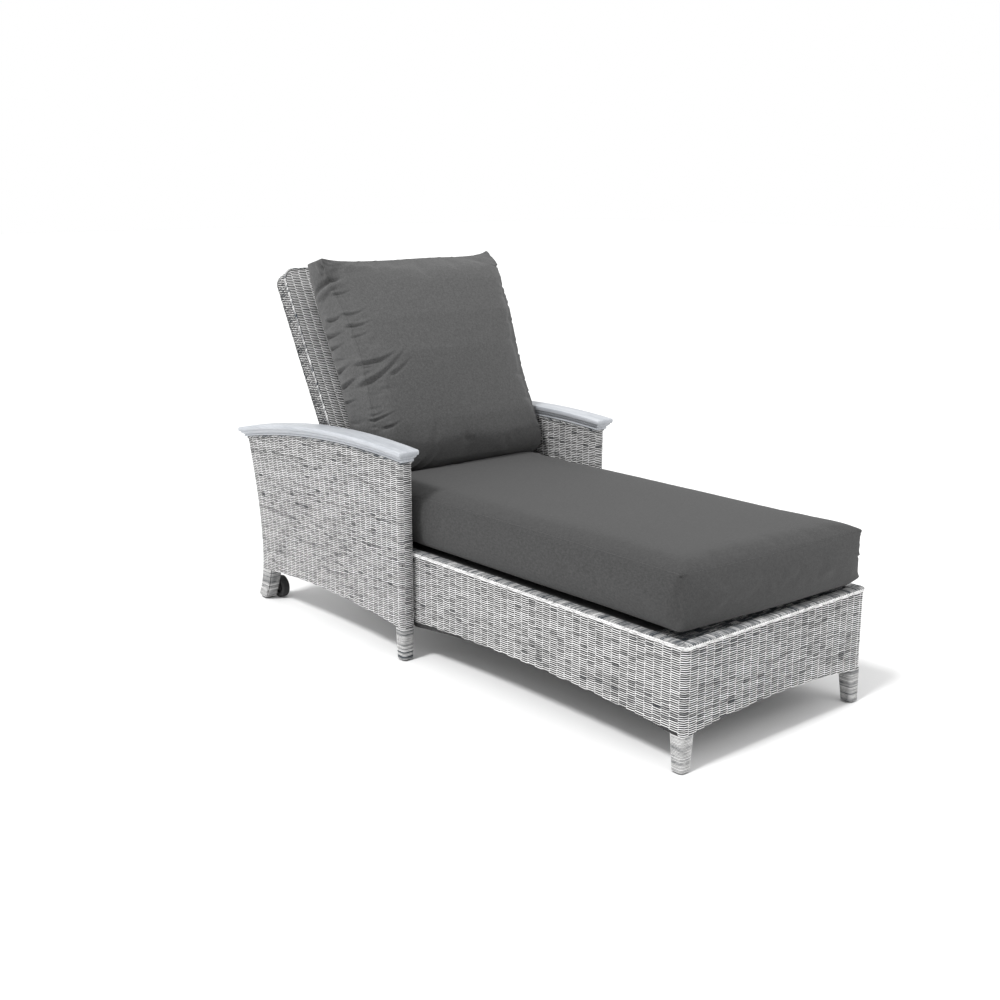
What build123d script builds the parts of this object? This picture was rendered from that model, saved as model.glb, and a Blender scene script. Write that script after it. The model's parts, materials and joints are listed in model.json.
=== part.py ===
from build123d import *
import math
import os

# Reclining sun lounger: a woven resin chaise with arms, a reclining back, a prop bar and two wheels.
# Millimetres. +Z is up, the foot end is at -Y, the head end at +Y. Left is -X, seen from the foot end.
# Everything is drawn with Y measured from the foot face and is centred on the origin when it is written.

# ---- driving dimensions -------------------------------------------------------------------------
total_length = 1745.0
base_half_width = 323.0
seat_height = 292.0
seat_end = 1180.0
rail_size = 30.0
rail_wall = 3.0
bar_size = 25.0
bar_wall = 2.0
weave_thickness = 4.0
corner_radius = 14.0
seat_bar_places = (300.0, 600.0, 900.0)

foot_leg_top = 38.0
foot_leg_bottom = 30.0
leg_top_height = 88.0
base_arch_height = 116.0
foot_arch_height = 106.0
arch_rail_gap = 2.0
arch_rail_height = 18.0
arch_rail_depth = 22.0
leg_corner_radius = 8.0
glide_height = 4.0
glide_radius = 12.0

arm_front = 940.0
arm_thickness = 35.0
arm_gap = 9.0
arm_arch_height = 113.0
arm_leg_top_height = 91.0
arm_leg_bottom = 31.0
arm_leg_depth = 38.0
arm_arch_middle = 1310.0
arm_arch_end = (1625.0, 99.0)
arm_bolt_places = ((957.0, 272.0), (957.0, 99.0), (1636.0, 180.0))

# The sabre-shaped rear leg, in Y and Z: down its rear edge, the middle of its toe, up its front edge.
rear_leg_rear_edge = ((1724, 530), (1682, 361), (1658, 192), (1662, 90), (1688, 12))
rear_leg_toe = (1672, 3)
rear_leg_front_edge = ((1648, 8), (1616, 90), (1611, 192), (1634, 361), (1676, 530))

cap_front = 921.0
cap_front_height = 573.0
cap_middle_height = 579.0
cap_rear_height = 524.0
cap_width = 66.0
cap_outer_overhang = 19.0
cap_slab = 14.0
cap_total = 32.0
cap_edge_radius = 5.0
cap_neck_front = 14.0
cap_neck_rear = 16.0
cap_neck_overhang = 2.0
cap_screw_places = (1010.0, 1260.0, 1500.0, 1640.0)

hinge_y = 1215.0
hinge_z = 270.0
back_angle = 62.0
back_half_width = 312.0
back_thickness = 45.0
back_length = 812.0
back_start = 18.0
back_corner_radius = 38.0
back_stile_width = 36.0
back_top_rail_width = 40.0
back_cross_bar_place = 500.0
bracket_plate = 3.0
pivot_radius = 10.0
hinge_ear_places = (-243.0, -220.0)
hinge_knuckle = (-239.0, -221.0)

prop_length = 205.0
prop_drop = 40.0
prop_rod_radius = 7.0
prop_arm_x = 250.0
prop_arm_radius = 6.0
prop_foot_half_width = 290.0
track_slope = 6.0
rack_x = (-283.0, -275.0)
rack_start = 1405.0
rack_end = 1650.0
lower_bar_bottom = 170.0
lower_rail_bottom = 165.0
recline_steps = (62.0, 49.0, 35.0, 20.0, 0.0)

wheel_radius = 33.0
wheel_width = 24.0
wheel_y = 1645.0
tyre_depth = 9.0
hub_rim = 4.0
hub_boss_radius = 9.0
hub_groove_radius = 13.0
axle_radius = 4.0
pin_radius = 4.0
running_clearance = 0.05

seat_cushion_half_width = 304.0
seat_cushion_front = 16.0
seat_cushion_rear = 1194.0
seat_cushion_bottom = 292.6
seat_cushion_top = 455.0
seat_cushion_radius = 26.0
back_cushion_half_width = 290.0
back_cushion_length = 790.0
back_cushion_front = 212.0
back_cushion_rest_height = 459.5
back_cushion_clearance = 4.0
back_cushion_radius = 24.0

# ---- worked-out dimensions ----------------------------------------------------------------------
arm_inner = base_half_width + arm_gap
arm_outer = arm_inner + arm_thickness
cap_outer = arm_outer + cap_outer_overhang
cap_inner = cap_outer - cap_width
rail_inner = base_half_width - rail_size
rail_bottom = seat_height - rail_size
deck_top = seat_height - 5.0
deck_bottom = deck_top - 5.0
upright_front = seat_end - bar_size
frame_face = base_half_width - weave_thickness
foot_arch_half = base_half_width - foot_leg_top
half_back = back_thickness / 2
half_core = half_back - weave_thickness
back_radians = math.radians(back_angle)
prop_offset = math.degrees(math.asin(prop_drop / prop_length))
prop_rise = back_angle - prop_offset
# Planes well clear of the object, for solids that only cut or trim others.
below_all = -20.0
above_all = 650.0
beyond_rear = 1900.0
arm_panel_end = 1700.0
arm_panel_bottom = 60.0


def foot_distance(recline):
    """Distance of the prop foot from the hinge, along the track, for a back angle above the horizontal."""
    return 2 * prop_length * math.cos(math.radians(recline - prop_offset + track_slope))


def track_height(y):
    """Height of the prop foot's centre line over the floor, at a distance y from the foot face."""
    return hinge_z - (y - hinge_y) * math.tan(math.radians(track_slope))


def block(x0, x1, y0, y1, z0, z1):
    """A box between two corners."""
    centre = Pos((x0 + x1) / 2, (y0 + y1) / 2, (z0 + z1) / 2)
    return centre * Box(abs(x1 - x0), abs(y1 - y0), abs(z1 - z0))


def hollow_block(x0, x1, y0, y1, z0, z1, along, wall=bar_wall):
    """A rectangular tube between two corners, open at both ends along one axis."""
    inset = {"X": (0, wall, wall), "Y": (wall, 0, wall), "Z": (wall, wall, 0)}[along]
    inside = block(
        x0 + inset[0], x1 - inset[0], y0 + inset[1], y1 - inset[1], z0 + inset[2], z1 - inset[2]
    )
    return block(x0, x1, y0, y1, z0, z1) - inside


def rod(radius, start, end):
    """A round bar between two points."""
    path = Line(start, end)
    return extrude(Plane(origin=start, z_dir=path % 0) * Circle(radius), amount=path.length)


def side_slab(face, x0, x1):
    """A face drawn in Y and Z, given its thickness from x0 to x1."""
    return extrude(Plane.YZ.offset(x0) * face, amount=x1 - x0)


def vertical_edges_at(shape, x, y):
    """The upright edges of a shape that pass through the point x, y."""
    chosen = []
    for edge in shape.edges().filter_by(Axis.Z):
        centre = edge.center()
        if abs(centre.X - x) < 0.5 and abs(centre.Y - y) < 0.5:
            chosen.append(edge)
    return chosen


def both_sides(name, left_shape):
    """The left piece and its mirror image, as two named pieces."""
    return {"left_" + name: left_shape, "right_" + name: mirror(left_shape, about=Plane.YZ)}


def with_mirror(shape):
    """A group of a shape and its mirror image across the middle plane."""
    return group((shape, mirror(shape, about=Plane.YZ)))


def group(shapes):
    """Several separate solids kept together as one piece."""
    return Compound([solid for shape in shapes for solid in shape.solids()])


# ---- outlines -----------------------------------------------------------------------------------
def under_arc(start, middle, end, x0, x1):
    """Everything below an arc drawn in Y and Z, between x0 and x1."""
    top = ThreePointArc(start, middle, end)
    rest = Polyline(end, (end[0], below_all), (start[0], below_all), start)
    return side_slab(make_face([top, rest]), x0, x1)


def below_cap(drop):
    """The space under the arm cap's top curve lowered by drop."""
    start = (cap_front, cap_front_height - drop)
    middle = ((cap_front + total_length) / 2, cap_middle_height - drop)
    end = (total_length, cap_rear_height - drop)
    return under_arc(start, middle, end, -cap_outer - 10, -cap_inner + 10)


def base_arch_edge(raise_by=0.0):
    """The lower edge of the base's long side: an arch between the legs, then level under the arm."""
    ends = leg_top_height + raise_by
    middle = ((foot_leg_top + arm_front) / 2, base_arch_height + raise_by)
    arch = ThreePointArc((foot_leg_top, ends), middle, (arm_front, ends))
    return [arch, Line((arm_front, ends), (upright_front, ends))]


def foot_arch_edge(raise_by=0.0):
    """The lower edge of the base's foot end, drawn in X and Z: an arch between the legs."""
    ends = leg_top_height + raise_by
    return ThreePointArc((-foot_arch_half, ends), (0, foot_arch_height + raise_by), (foot_arch_half, ends))


def base_arch():
    """The space under the arched lower edge of the base's long side."""
    closing = Polyline(
        (upright_front, leg_top_height),
        (upright_front, below_all),
        (foot_leg_top, below_all),
        (foot_leg_top, leg_top_height),
    )
    return side_slab(make_face(base_arch_edge() + [closing]), -base_half_width - 1, -rail_inner)


def arm_arch(raise_by=0.0):
    """The space under the arched lower edge of an arm."""
    start = (arm_front + arm_thickness, arm_leg_top_height + raise_by)
    middle = (arm_arch_middle, arm_arch_height + raise_by)
    end = (arm_arch_end[0], arm_arch_end[1] + raise_by)
    return under_arc(start, middle, end, -arm_outer - 1, -arm_inner + 1)


def rear_leg_face():
    """The sabre-shaped outline of the arm's rear post and leg, in Y and Z."""
    toe = ThreePointArc(rear_leg_rear_edge[-1], rear_leg_toe, rear_leg_front_edge[0])
    top = Line(rear_leg_front_edge[-1], rear_leg_rear_edge[0])
    return make_face([Spline(*rear_leg_rear_edge), toe, Spline(*rear_leg_front_edge), top])


def behind_rear_post():
    """Everything behind the front edge of the rear post, to trim the arm's panels and rails."""
    foot = rear_leg_front_edge[0]
    head = rear_leg_front_edge[-1]
    rest = Polyline(
        head, (head[0], above_all), (beyond_rear, above_all), (beyond_rear, foot[1]), foot
    )
    return side_slab(make_face([Spline(*rear_leg_front_edge), rest]), -arm_outer - 1, -arm_inner + 1)


# ---- base ---------------------------------------------------------------------------------------
def seat_rails():
    left = hollow_block(
        -base_half_width, -rail_inner, 0, seat_end, rail_bottom, seat_height, along="Y", wall=rail_wall
    )
    left = left + block(
        -base_half_width + rail_wall,
        -rail_inner - rail_wall,
        0,
        2 * rail_wall,
        rail_bottom + rail_wall,
        seat_height - rail_wall,
    )
    left = fillet(vertical_edges_at(left, -base_half_width, 0), corner_radius)
    long_edges = []
    for edge in left.edges().filter_by(Axis.Y):
        on_outside = abs(edge.center().X + base_half_width) < 0.1
        if on_outside and edge.length > seat_end / 2:
            long_edges.append(edge)
    left = fillet(long_edges, 2.5)
    pieces = both_sides("seat_rail", left)
    pieces["foot_rail"] = hollow_block(
        -rail_inner, rail_inner, 0, rail_size, rail_bottom, seat_height, along="X", wall=rail_wall
    )
    return pieces


def cross_bars():
    low = deck_bottom - bar_size
    bars = []
    for y in seat_bar_places:
        bars.append(hollow_block(-rail_inner, rail_inner, y, y + bar_size, low, deck_bottom, along="X"))
    low = deck_bottom - rail_size
    hinge_rail = hollow_block(
        -rail_inner, rail_inner, seat_end - rail_size, seat_end, low, deck_bottom, along="X"
    )
    return {"seat_cross_bars": group(bars), "hinge_rail": hinge_rail}


def base_lower_frame():
    low = arch_rail_gap
    high = arch_rail_gap + arch_rail_height
    front_end = Line((foot_leg_top, leg_top_height + low), (foot_leg_top, leg_top_height + high))
    rear_end = Line((upright_front, leg_top_height + low), (upright_front, leg_top_height + high))
    band = make_face(base_arch_edge(low) + [rear_end] + base_arch_edge(high) + [front_end])
    arch_rail = side_slab(band, -frame_face, -frame_face + arch_rail_depth)
    pieces = both_sides("base_arch_rail", arch_rail)
    left_end = Line(foot_arch_edge(high) @ 0, foot_arch_edge(low) @ 0)
    right_end = Line(foot_arch_edge(low) @ 1, foot_arch_edge(high) @ 1)
    face = make_face([foot_arch_edge(low), right_end, foot_arch_edge(high), left_end])
    behind = Plane.XZ.offset(-weave_thickness - arch_rail_depth)
    pieces["foot_arch_rail"] = extrude(behind * face, amount=arch_rail_depth)
    upright = hollow_block(
        -frame_face,
        -frame_face + bar_size,
        upright_front,
        seat_end,
        leg_top_height + arch_rail_gap,
        rail_bottom,
        along="Z",
    )
    pieces["rear_uprights"] = with_mirror(upright)
    return pieces


def base_weave():
    radius = corner_radius
    outer = Polyline((-base_half_width, seat_end), (-base_half_width, radius))
    bend = RadiusArc((-base_half_width, radius), (-base_half_width + radius, 0), -radius)
    skin_end = Line((-base_half_width + radius, 0), (-base_half_width + radius, weave_thickness))
    inner_bend = RadiusArc(
        (-base_half_width + radius, weave_thickness),
        (-base_half_width + weave_thickness, radius),
        radius - weave_thickness,
    )
    inner = Polyline(
        (-base_half_width + weave_thickness, radius),
        (-base_half_width + weave_thickness, seat_end),
        (-base_half_width, seat_end),
    )
    plan = make_face([outer, bend, skin_end, inner_bend, inner])
    skin = extrude(Plane.XY.offset(leg_top_height) * plan, amount=rail_bottom - leg_top_height)
    pieces = both_sides("base_weave", skin - base_arch())
    foot_half = base_half_width - radius
    foot = block(-foot_half, foot_half, 0, weave_thickness, leg_top_height, rail_bottom)
    arc = foot_arch_edge()
    gap = make_face([arc, Line(arc @ 1, arc @ 0)])
    pieces["foot_weave"] = foot - extrude(Plane.XZ * gap, amount=weave_thickness, both=True)
    pieces["seat_deck_weave"] = block(-rail_inner, rail_inner, rail_size, seat_end, deck_bottom, deck_top)
    return pieces


def tapered_leg(outer_x, front_y, top_x, top_y, bottom_size, top_z):
    """A leg whose outer and front faces are upright and whose two inner faces taper."""
    bottom = Pos(outer_x + bottom_size / 2, front_y + bottom_size / 2) * RectangleRounded(
        bottom_size, bottom_size, leg_corner_radius
    )
    top = Pos(outer_x + top_x / 2, front_y + top_y / 2) * RectangleRounded(top_x, top_y, leg_corner_radius)
    return loft([Plane.XY.offset(glide_height) * bottom, Plane.XY.offset(top_z) * top])


def foot_legs():
    lower = tapered_leg(-base_half_width, 0, foot_leg_top, foot_leg_top, foot_leg_bottom, leg_top_height)
    size = foot_leg_top - corner_radius + weave_thickness
    post = block(
        -frame_face, -frame_face + size, weave_thickness, weave_thickness + size, leg_top_height, rail_bottom
    )
    post = fillet(vertical_edges_at(post, -frame_face, weave_thickness), corner_radius - weave_thickness + 1)
    return both_sides("foot_leg", lower + post)


def seat_supports():
    """Frame members behind the hinge, below the back when it lies flat."""
    bar_top = lower_bar_bottom + bar_size
    lower_rail = hollow_block(
        -base_half_width, -rail_inner, seat_end, rack_end, lower_rail_bottom, bar_top, along="Y"
    )
    bars = []
    for y in (rack_start, rack_end - bar_size):
        bars.append(
            hollow_block(-rail_inner, rail_inner, y, y + bar_size, lower_bar_bottom, bar_top, along="X")
        )
    pieces = both_sides("lower_rail", lower_rail)
    pieces["rack_cross_bars"] = group(bars)
    tip_drop = prop_rod_radius + 0.4
    outline = Polyline(
        (rack_start, bar_top),
        (rack_end, bar_top),
        (rack_end, track_height(rack_end) - tip_drop),
        (rack_start, track_height(rack_start) - tip_drop),
        close=True,
    )
    rack = side_slab(make_face(outline), *rack_x)
    for recline in recline_steps:
        y = hinge_y + foot_distance(recline) * math.cos(math.radians(track_slope))
        notch_centre = track_height(y) - 4.0
        notch = rod(
            prop_rod_radius + 1, (rack_x[0] - 1, y, notch_centre), (rack_x[1] + 1, y, notch_centre)
        )
        rack = rack - notch
    pieces.update(both_sides("rack", rack))
    return pieces


# ---- arms ---------------------------------------------------------------------------------------
def arm_frame():
    under = below_cap(cap_total)
    lower = tapered_leg(
        -arm_outer, arm_front, arm_thickness, arm_leg_depth, arm_leg_bottom, arm_leg_top_height
    )
    post_rear = arm_front + arm_thickness
    post = block(-arm_outer, -arm_inner, arm_front, post_rear, arm_leg_top_height, above_all)
    for x in (-arm_outer, -arm_inner):
        post = fillet(vertical_edges_at(post, x, arm_front), leg_corner_radius)
    pieces = both_sides("arm_front_leg", lower + (post & under))
    rear = side_slab(rear_leg_face(), -arm_outer, -arm_inner) & under
    pieces.update(both_sides("arm_rear_leg", rear))
    outside = -arm_outer + weave_thickness
    inside = -arm_inner - weave_thickness
    whole = block(outside, inside, post_rear, arm_panel_end, arm_panel_bottom, above_all)
    whole = whole - behind_rear_post()
    top_rail = (whole & under) - below_cap(cap_total + arch_rail_depth)
    pieces.update(both_sides("arm_top_rail", top_rail))
    arch_rail = whole & (arm_arch(arch_rail_gap + arch_rail_height) - arm_arch(arch_rail_gap))
    pieces.update(both_sides("arm_arch_rail", arch_rail))
    return pieces


def arm_weave():
    under = below_cap(cap_total)
    front = arm_front + arm_thickness
    trim = behind_rear_post() + arm_arch()
    outer = block(
        -arm_outer, -arm_outer + weave_thickness, front, arm_panel_end, arm_panel_bottom, above_all
    )
    inner = block(
        -arm_inner - weave_thickness, -arm_inner, front, arm_panel_end, arm_panel_bottom, above_all
    )
    pieces = both_sides("arm_outer_weave", (outer & under) - trim)
    pieces.update(both_sides("arm_inner_weave", (inner & under) - trim))
    return pieces


def arm_caps():
    slab_space = below_cap(0) - below_cap(cap_slab)
    slab = slab_space & block(-cap_outer, -cap_inner, cap_front, total_length, seat_height, above_all)
    neck_space = below_cap(cap_slab) - below_cap(cap_total)
    neck = neck_space & block(
        -arm_outer - cap_neck_overhang,
        -arm_inner + cap_neck_overhang,
        cap_front + cap_neck_front,
        total_length - cap_neck_rear,
        seat_height,
        above_all,
    )
    slab = fillet([edge for edge in slab.edges() if edge.length > cap_width], cap_edge_radius)
    return both_sides("arm_cap", slab + neck)


def fasteners():
    """Screws, bolts and spacers of the arms, with the holes' sizes taken from these same solids."""
    screws = []
    for y in cap_screw_places:
        t = (y - cap_front) / (total_length - cap_front)
        chord = cap_front_height + (cap_rear_height - cap_front_height) * t
        sag = cap_middle_height - (cap_front_height + cap_rear_height) / 2
        top = chord + 4 * sag * t * (1 - t)
        x = -(arm_inner + arm_outer) / 2
        under_rail = top - cap_total - arch_rail_depth
        shank = rod(2.5, (x, y, under_rail), (x, y, top - cap_slab))
        head = rod(5.0, (x, y, under_rail - 3), (x, y, under_rail))
        screws.append(shank + head)
    bolts = []
    spacers = []
    for y, z in arm_bolt_places:
        inner_face = -rail_inner
        if z < leg_top_height + arch_rail_gap + arch_rail_height:
            inner_face = -(frame_face - arch_rail_depth)
        shank = rod(4.0, (inner_face, y, z), (-arm_outer + 10, y, z))
        head = rod(7.5, (inner_face + 4, y, z), (inner_face, y, z))
        bolts.append(shank + head)
        spacers.append(rod(11.0, (-base_half_width, y, z), (-arm_inner, y, z)) - shank)
    return {
        "cap_screws": with_mirror(group(screws)),
        "arm_bolts": with_mirror(group(bolts)),
        "arm_spacers": with_mirror(group(spacers)),
    }


def glides():
    places = (
        (-base_half_width + foot_leg_bottom / 2, foot_leg_bottom / 2),
        (-arm_outer + arm_leg_bottom / 2, arm_front + arm_leg_bottom / 2),
    )
    feet = []
    for x, y in places:
        foot = rod(glide_radius, (x, y, 0), (x, y, glide_height))
        floor_edge = foot.edges().filter_by(GeomType.CIRCLE).sort_by(Axis.Z)[0]
        feet.append(fillet(floor_edge, 1.5))
    return {"leg_glides": with_mirror(group(feet))}


# ---- wheels -------------------------------------------------------------------------------------
def wheels():
    outer_face = -arm_inner + 3
    inner_face = outer_face + wheel_width
    middle = (outer_face + inner_face) / 2

    def disc(radius, half_width):
        start = (middle - half_width, wheel_y, wheel_radius)
        return rod(radius, start, (middle + half_width, wheel_y, wheel_radius))

    hub_radius = wheel_radius - tyre_depth
    tyre = disc(wheel_radius, wheel_width / 2) - disc(hub_radius, wheel_width)
    tyre = fillet(tyre.edges().filter_by(GeomType.CIRCLE).sort_by(SortBy.RADIUS)[-2:], 4)
    hub = disc(hub_radius, wheel_width / 2 - 2) + disc(hub_boss_radius, wheel_width / 2)
    hub = hub - disc(axle_radius + running_clearance, wheel_width)
    groove = disc(hub_radius - hub_rim, wheel_width) - disc(hub_groove_radius, wheel_width)
    web = disc(wheel_radius, 4)
    hub = hub - (groove - web)
    shank_start = (-arm_outer, wheel_y, wheel_radius)
    shank = rod(axle_radius, shank_start, (inner_face + 9, wheel_y, wheel_radius))
    head = rod(8, (-arm_outer - 4, wheel_y, wheel_radius), shank_start)
    nut = rod(7, (inner_face + 1, wheel_y, wheel_radius), (inner_face + 7, wheel_y, wheel_radius))
    pieces = both_sides("wheel_tyre", tyre)
    pieces.update(both_sides("wheel_hub", hub))
    pieces["wheel_axles"] = with_mirror(shank + head + nut)
    return pieces


# ---- hinge --------------------------------------------------------------------------------------
def hinge_brackets():
    """Two clevises on the rear face of the hinge rail, and their pins."""
    ears = []
    ear_radius = pivot_radius + 2
    for x in hinge_ear_places:
        near = (x, hinge_y, hinge_z)
        far = (x + bracket_plate, hinge_y, hinge_z)
        ear = block(
            x,
            x + bracket_plate,
            seat_end + bracket_plate,
            hinge_y,
            hinge_z - ear_radius,
            hinge_z + ear_radius,
        )
        ears.append(ear + rod(ear_radius, near, far))
    outside, inside = hinge_ear_places[0] - 7, hinge_ear_places[1] + 10
    plate = block(
        outside,
        inside,
        seat_end,
        seat_end + bracket_plate,
        hinge_z - ear_radius - bracket_plate,
        hinge_z + ear_radius,
    )
    pin_start = (hinge_ear_places[0] - 3, hinge_y, hinge_z)
    pin = rod(pin_radius, pin_start, (hinge_ear_places[1] + 6, hinge_y, hinge_z))
    pin_head = rod(pin_radius + 2, (hinge_ear_places[0] - 5, hinge_y, hinge_z), pin_start)
    bracket = plate + ears[0] + ears[1] - pin
    return {
        "hinge_brackets": with_mirror(bracket),
        "hinge_pins": with_mirror(pin + pin_head),
    }


# ---- backrest, drawn lying flat with the hinge axis at the origin ------------------------------
def backrest():
    core = back_half_width - back_stile_width
    stile_end = back_length - back_top_rail_width
    stile = hollow_block(
        -back_half_width, -core, back_start, stile_end, -half_core, half_core, along="Y"
    )
    pieces = both_sides("back_stile", stile)
    top = block(-back_half_width, back_half_width, stile_end, back_length, -half_core, half_core)
    top_corners = []
    for x in (-back_half_width, back_half_width):
        top_corners.extend(vertical_edges_at(top, x, back_length))
    pieces["back_top_rail"] = fillet(top_corners, back_corner_radius)
    pieces["back_bottom_rail"] = hollow_block(
        -core, core, back_start, back_start + rail_size, -half_core, half_core, along="X"
    )
    bars = []
    for y in (prop_length - 16.0, back_cross_bar_place):
        bars.append(hollow_block(-core, core, y, y + bar_size, -half_core, half_core - 12, along="X"))
    pieces["back_cross_bars"] = group(bars)

    def sheet(low, high):
        skin = block(-back_half_width, back_half_width, back_start, back_length, low, high)
        corners = []
        for x in (-back_half_width, back_half_width):
            corners.extend(vertical_edges_at(skin, x, back_length))
        return fillet(corners, back_corner_radius)

    pieces["back_front_weave"] = sheet(half_core, half_back)
    pieces["back_rear_weave"] = sheet(-half_back, -half_core)
    x0, x1 = hinge_knuckle
    hole = rod(pin_radius + running_clearance, (x0 - 1, 0, 0), (x1 + 1, 0, 0))
    knuckle = block(x0, x1, 0, back_start, -8, 8) + rod(pivot_radius, (x0, 0, 0), (x1, 0, 0))
    pieces["hinge_knuckles"] = with_mirror(knuckle - hole)
    return pieces


def prop_brackets():
    """Two small clevises on the rear face of the back, and the pins of the prop bar."""
    y = prop_length * math.cos(math.radians(prop_offset))
    plate_under = -half_back - bracket_plate
    bracket = block(-prop_arm_x - 12, -prop_arm_x + 12, y - 13, y + 13, plate_under, -half_back)
    pin = rod(pin_radius, (-prop_arm_x - 13, y, -prop_drop), (-prop_arm_x + 13, y, -prop_drop))
    for x in (-prop_arm_x - 11, -prop_arm_x + 8):
        ear = block(x, x + bracket_plate, y - pivot_radius, y + pivot_radius, -prop_drop, plate_under)
        ear = ear + rod(pivot_radius, (x, y, -prop_drop), (x + bracket_plate, y, -prop_drop))
        bracket = bracket + ear
    return {
        "prop_brackets": with_mirror(bracket - pin),
        "prop_pins": with_mirror(pin),
    }


def back_cushion():
    """The loose back cushion: upright sides, its bottom level when the back is at its upright rest."""
    rear = half_back + back_cushion_clearance

    def bottom_at(n):
        rise = back_cushion_rest_height - hinge_z - n * math.cos(back_radians)
        return rise / math.sin(back_radians)

    outline = Polyline(
        (bottom_at(rear), rear),
        (back_cushion_length - 10, rear),
        (back_cushion_length, rear + 60),
        (back_cushion_length - 25, back_cushion_front),
        (bottom_at(back_cushion_front), back_cushion_front),
        close=True,
    )
    shape = side_slab(make_face(outline), -back_cushion_half_width, back_cushion_half_width)
    return {"back_cushion": fillet(shape.edges(), back_cushion_radius)}


def seat_cushion():
    shape = block(
        -seat_cushion_half_width,
        seat_cushion_half_width,
        seat_cushion_front,
        seat_cushion_rear,
        seat_cushion_bottom,
        seat_cushion_top,
    )
    return {"seat_cushion": fillet(shape.edges(), seat_cushion_radius)}


# ---- prop bar, drawn with its pivot at the origin and its foot along +Y ------------------------
def prop_bar():
    foot_start = (-prop_foot_half_width, prop_length, 0)
    foot_rod = rod(prop_rod_radius, foot_start, (prop_foot_half_width, prop_length, 0))
    arm = rod(prop_arm_radius, (-prop_arm_x, 0, 0), (-prop_arm_x, prop_length, 0))
    eye = rod(pivot_radius, (-prop_arm_x - 6, 0, 0), (-prop_arm_x + 6, 0, 0))
    hole = rod(pin_radius + running_clearance, (-prop_arm_x - 9, 0, 0), (-prop_arm_x + 9, 0, 0))
    return {
        "prop_arms": with_mirror(arm + eye - hole - foot_rod),
        "prop_foot_rod": foot_rod,
    }


# ---- assembly -----------------------------------------------------------------------------------
parts = {}
for make in (seat_rails, cross_bars, base_lower_frame, base_weave, foot_legs, seat_supports):
    parts.update(make())
for make in (arm_frame, arm_weave, arm_caps, fasteners, glides, wheels, hinge_brackets, seat_cushion):
    parts.update(make())

for name in list(parts):
    for fastener in ("cap_screws", "arm_bolts", "wheel_axles"):
        bolted = name.endswith(("seat_rail", "base_arch_rail", "base_weave", "lower_rail")) or "arm_" in name
        if bolted and name not in ("arm_bolts", "arm_spacers"):
            parts[name] = parts[name] - parts[fastener]

raise_back = Pos(0, hinge_y, hinge_z) * Rot(X=back_angle)
for make in (backrest, prop_brackets, back_cushion):
    for name, shape in make().items():
        parts[name] = raise_back * shape

pivot_angle = math.radians(prop_rise)
pivot = Pos(
    0,
    hinge_y + prop_length * math.cos(pivot_angle),
    hinge_z + prop_length * math.sin(pivot_angle),
)
for name, shape in prop_bar().items():
    parts[name] = pivot * Rot(X=-(prop_rise + 2 * track_slope)) * shape

os.makedirs("parts", exist_ok=True)
for name, shape in parts.items():
    export_step(Pos(0, -total_length / 2, 0) * shape, "parts/" + name + ".step")
print(len(parts), "pieces")
print("hinge", (0, hinge_y - total_length / 2, hinge_z))
print("prop pivot", tuple(pivot.position - Vector(0, total_length / 2, 0)))
print("wheel", (0, wheel_y - total_length / 2, wheel_radius))
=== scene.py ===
import json
import math

import bpy
import numpy as np
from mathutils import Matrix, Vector
from mathutils.bvhtree import BVHTree

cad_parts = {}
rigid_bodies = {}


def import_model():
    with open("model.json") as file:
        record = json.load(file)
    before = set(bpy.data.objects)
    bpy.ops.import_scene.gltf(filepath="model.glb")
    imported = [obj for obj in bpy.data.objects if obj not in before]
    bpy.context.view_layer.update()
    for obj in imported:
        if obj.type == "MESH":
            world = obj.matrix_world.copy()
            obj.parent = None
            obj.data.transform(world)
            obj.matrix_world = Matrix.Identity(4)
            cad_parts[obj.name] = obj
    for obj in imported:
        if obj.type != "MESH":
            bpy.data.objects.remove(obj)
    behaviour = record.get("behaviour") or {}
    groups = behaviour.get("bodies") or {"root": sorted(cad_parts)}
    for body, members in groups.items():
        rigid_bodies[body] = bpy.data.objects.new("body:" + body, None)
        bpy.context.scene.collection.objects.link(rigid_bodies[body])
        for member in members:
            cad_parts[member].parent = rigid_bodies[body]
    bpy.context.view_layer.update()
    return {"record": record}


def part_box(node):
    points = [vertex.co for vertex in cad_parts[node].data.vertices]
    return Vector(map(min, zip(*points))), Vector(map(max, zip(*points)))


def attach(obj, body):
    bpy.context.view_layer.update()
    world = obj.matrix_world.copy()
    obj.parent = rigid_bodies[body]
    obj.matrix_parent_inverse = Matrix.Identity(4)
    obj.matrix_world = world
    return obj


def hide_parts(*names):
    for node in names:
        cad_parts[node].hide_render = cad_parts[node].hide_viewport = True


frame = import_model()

# A reclining sun lounger of woven resin, in metres. The foot is at -Y, the head at +Y, and left is -X.
random = np.random.default_rng(7)

# ---- sizes ----
ROW_PITCH = 0.00254
STAKE_PITCH = 0.0252
STRAND_WIDTH = 0.0024
STRAND_THICKNESS = 0.0014
STRAND_PROUD = 0.0023
EDGE_STAKE_PITCH = 0.0075
EDGE_ROW_PITCH = 0.0036
BORDER_WIDTH = 0.0072
BORDER_HEIGHT = 0.0022
BORDER_SINK = 0.0004
BORDER_PITCH = 0.0070
BORDER_SLANT = 0.0012
WRAP_PITCH = 0.0031
WRAP_WIDTH = 0.0030
BACK_ANGLE = math.radians(62)
DOWN, UP = Vector((0, 0, -1)), Vector((0, 0, 1))
SIDES = (("left", 1), ("right", -1))
joints = {joint["name"]: joint for joint in frame["record"]["behaviour"]["joints"]}
HINGE = Vector(joints["backrest_hinge"]["pos_m"])

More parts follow.
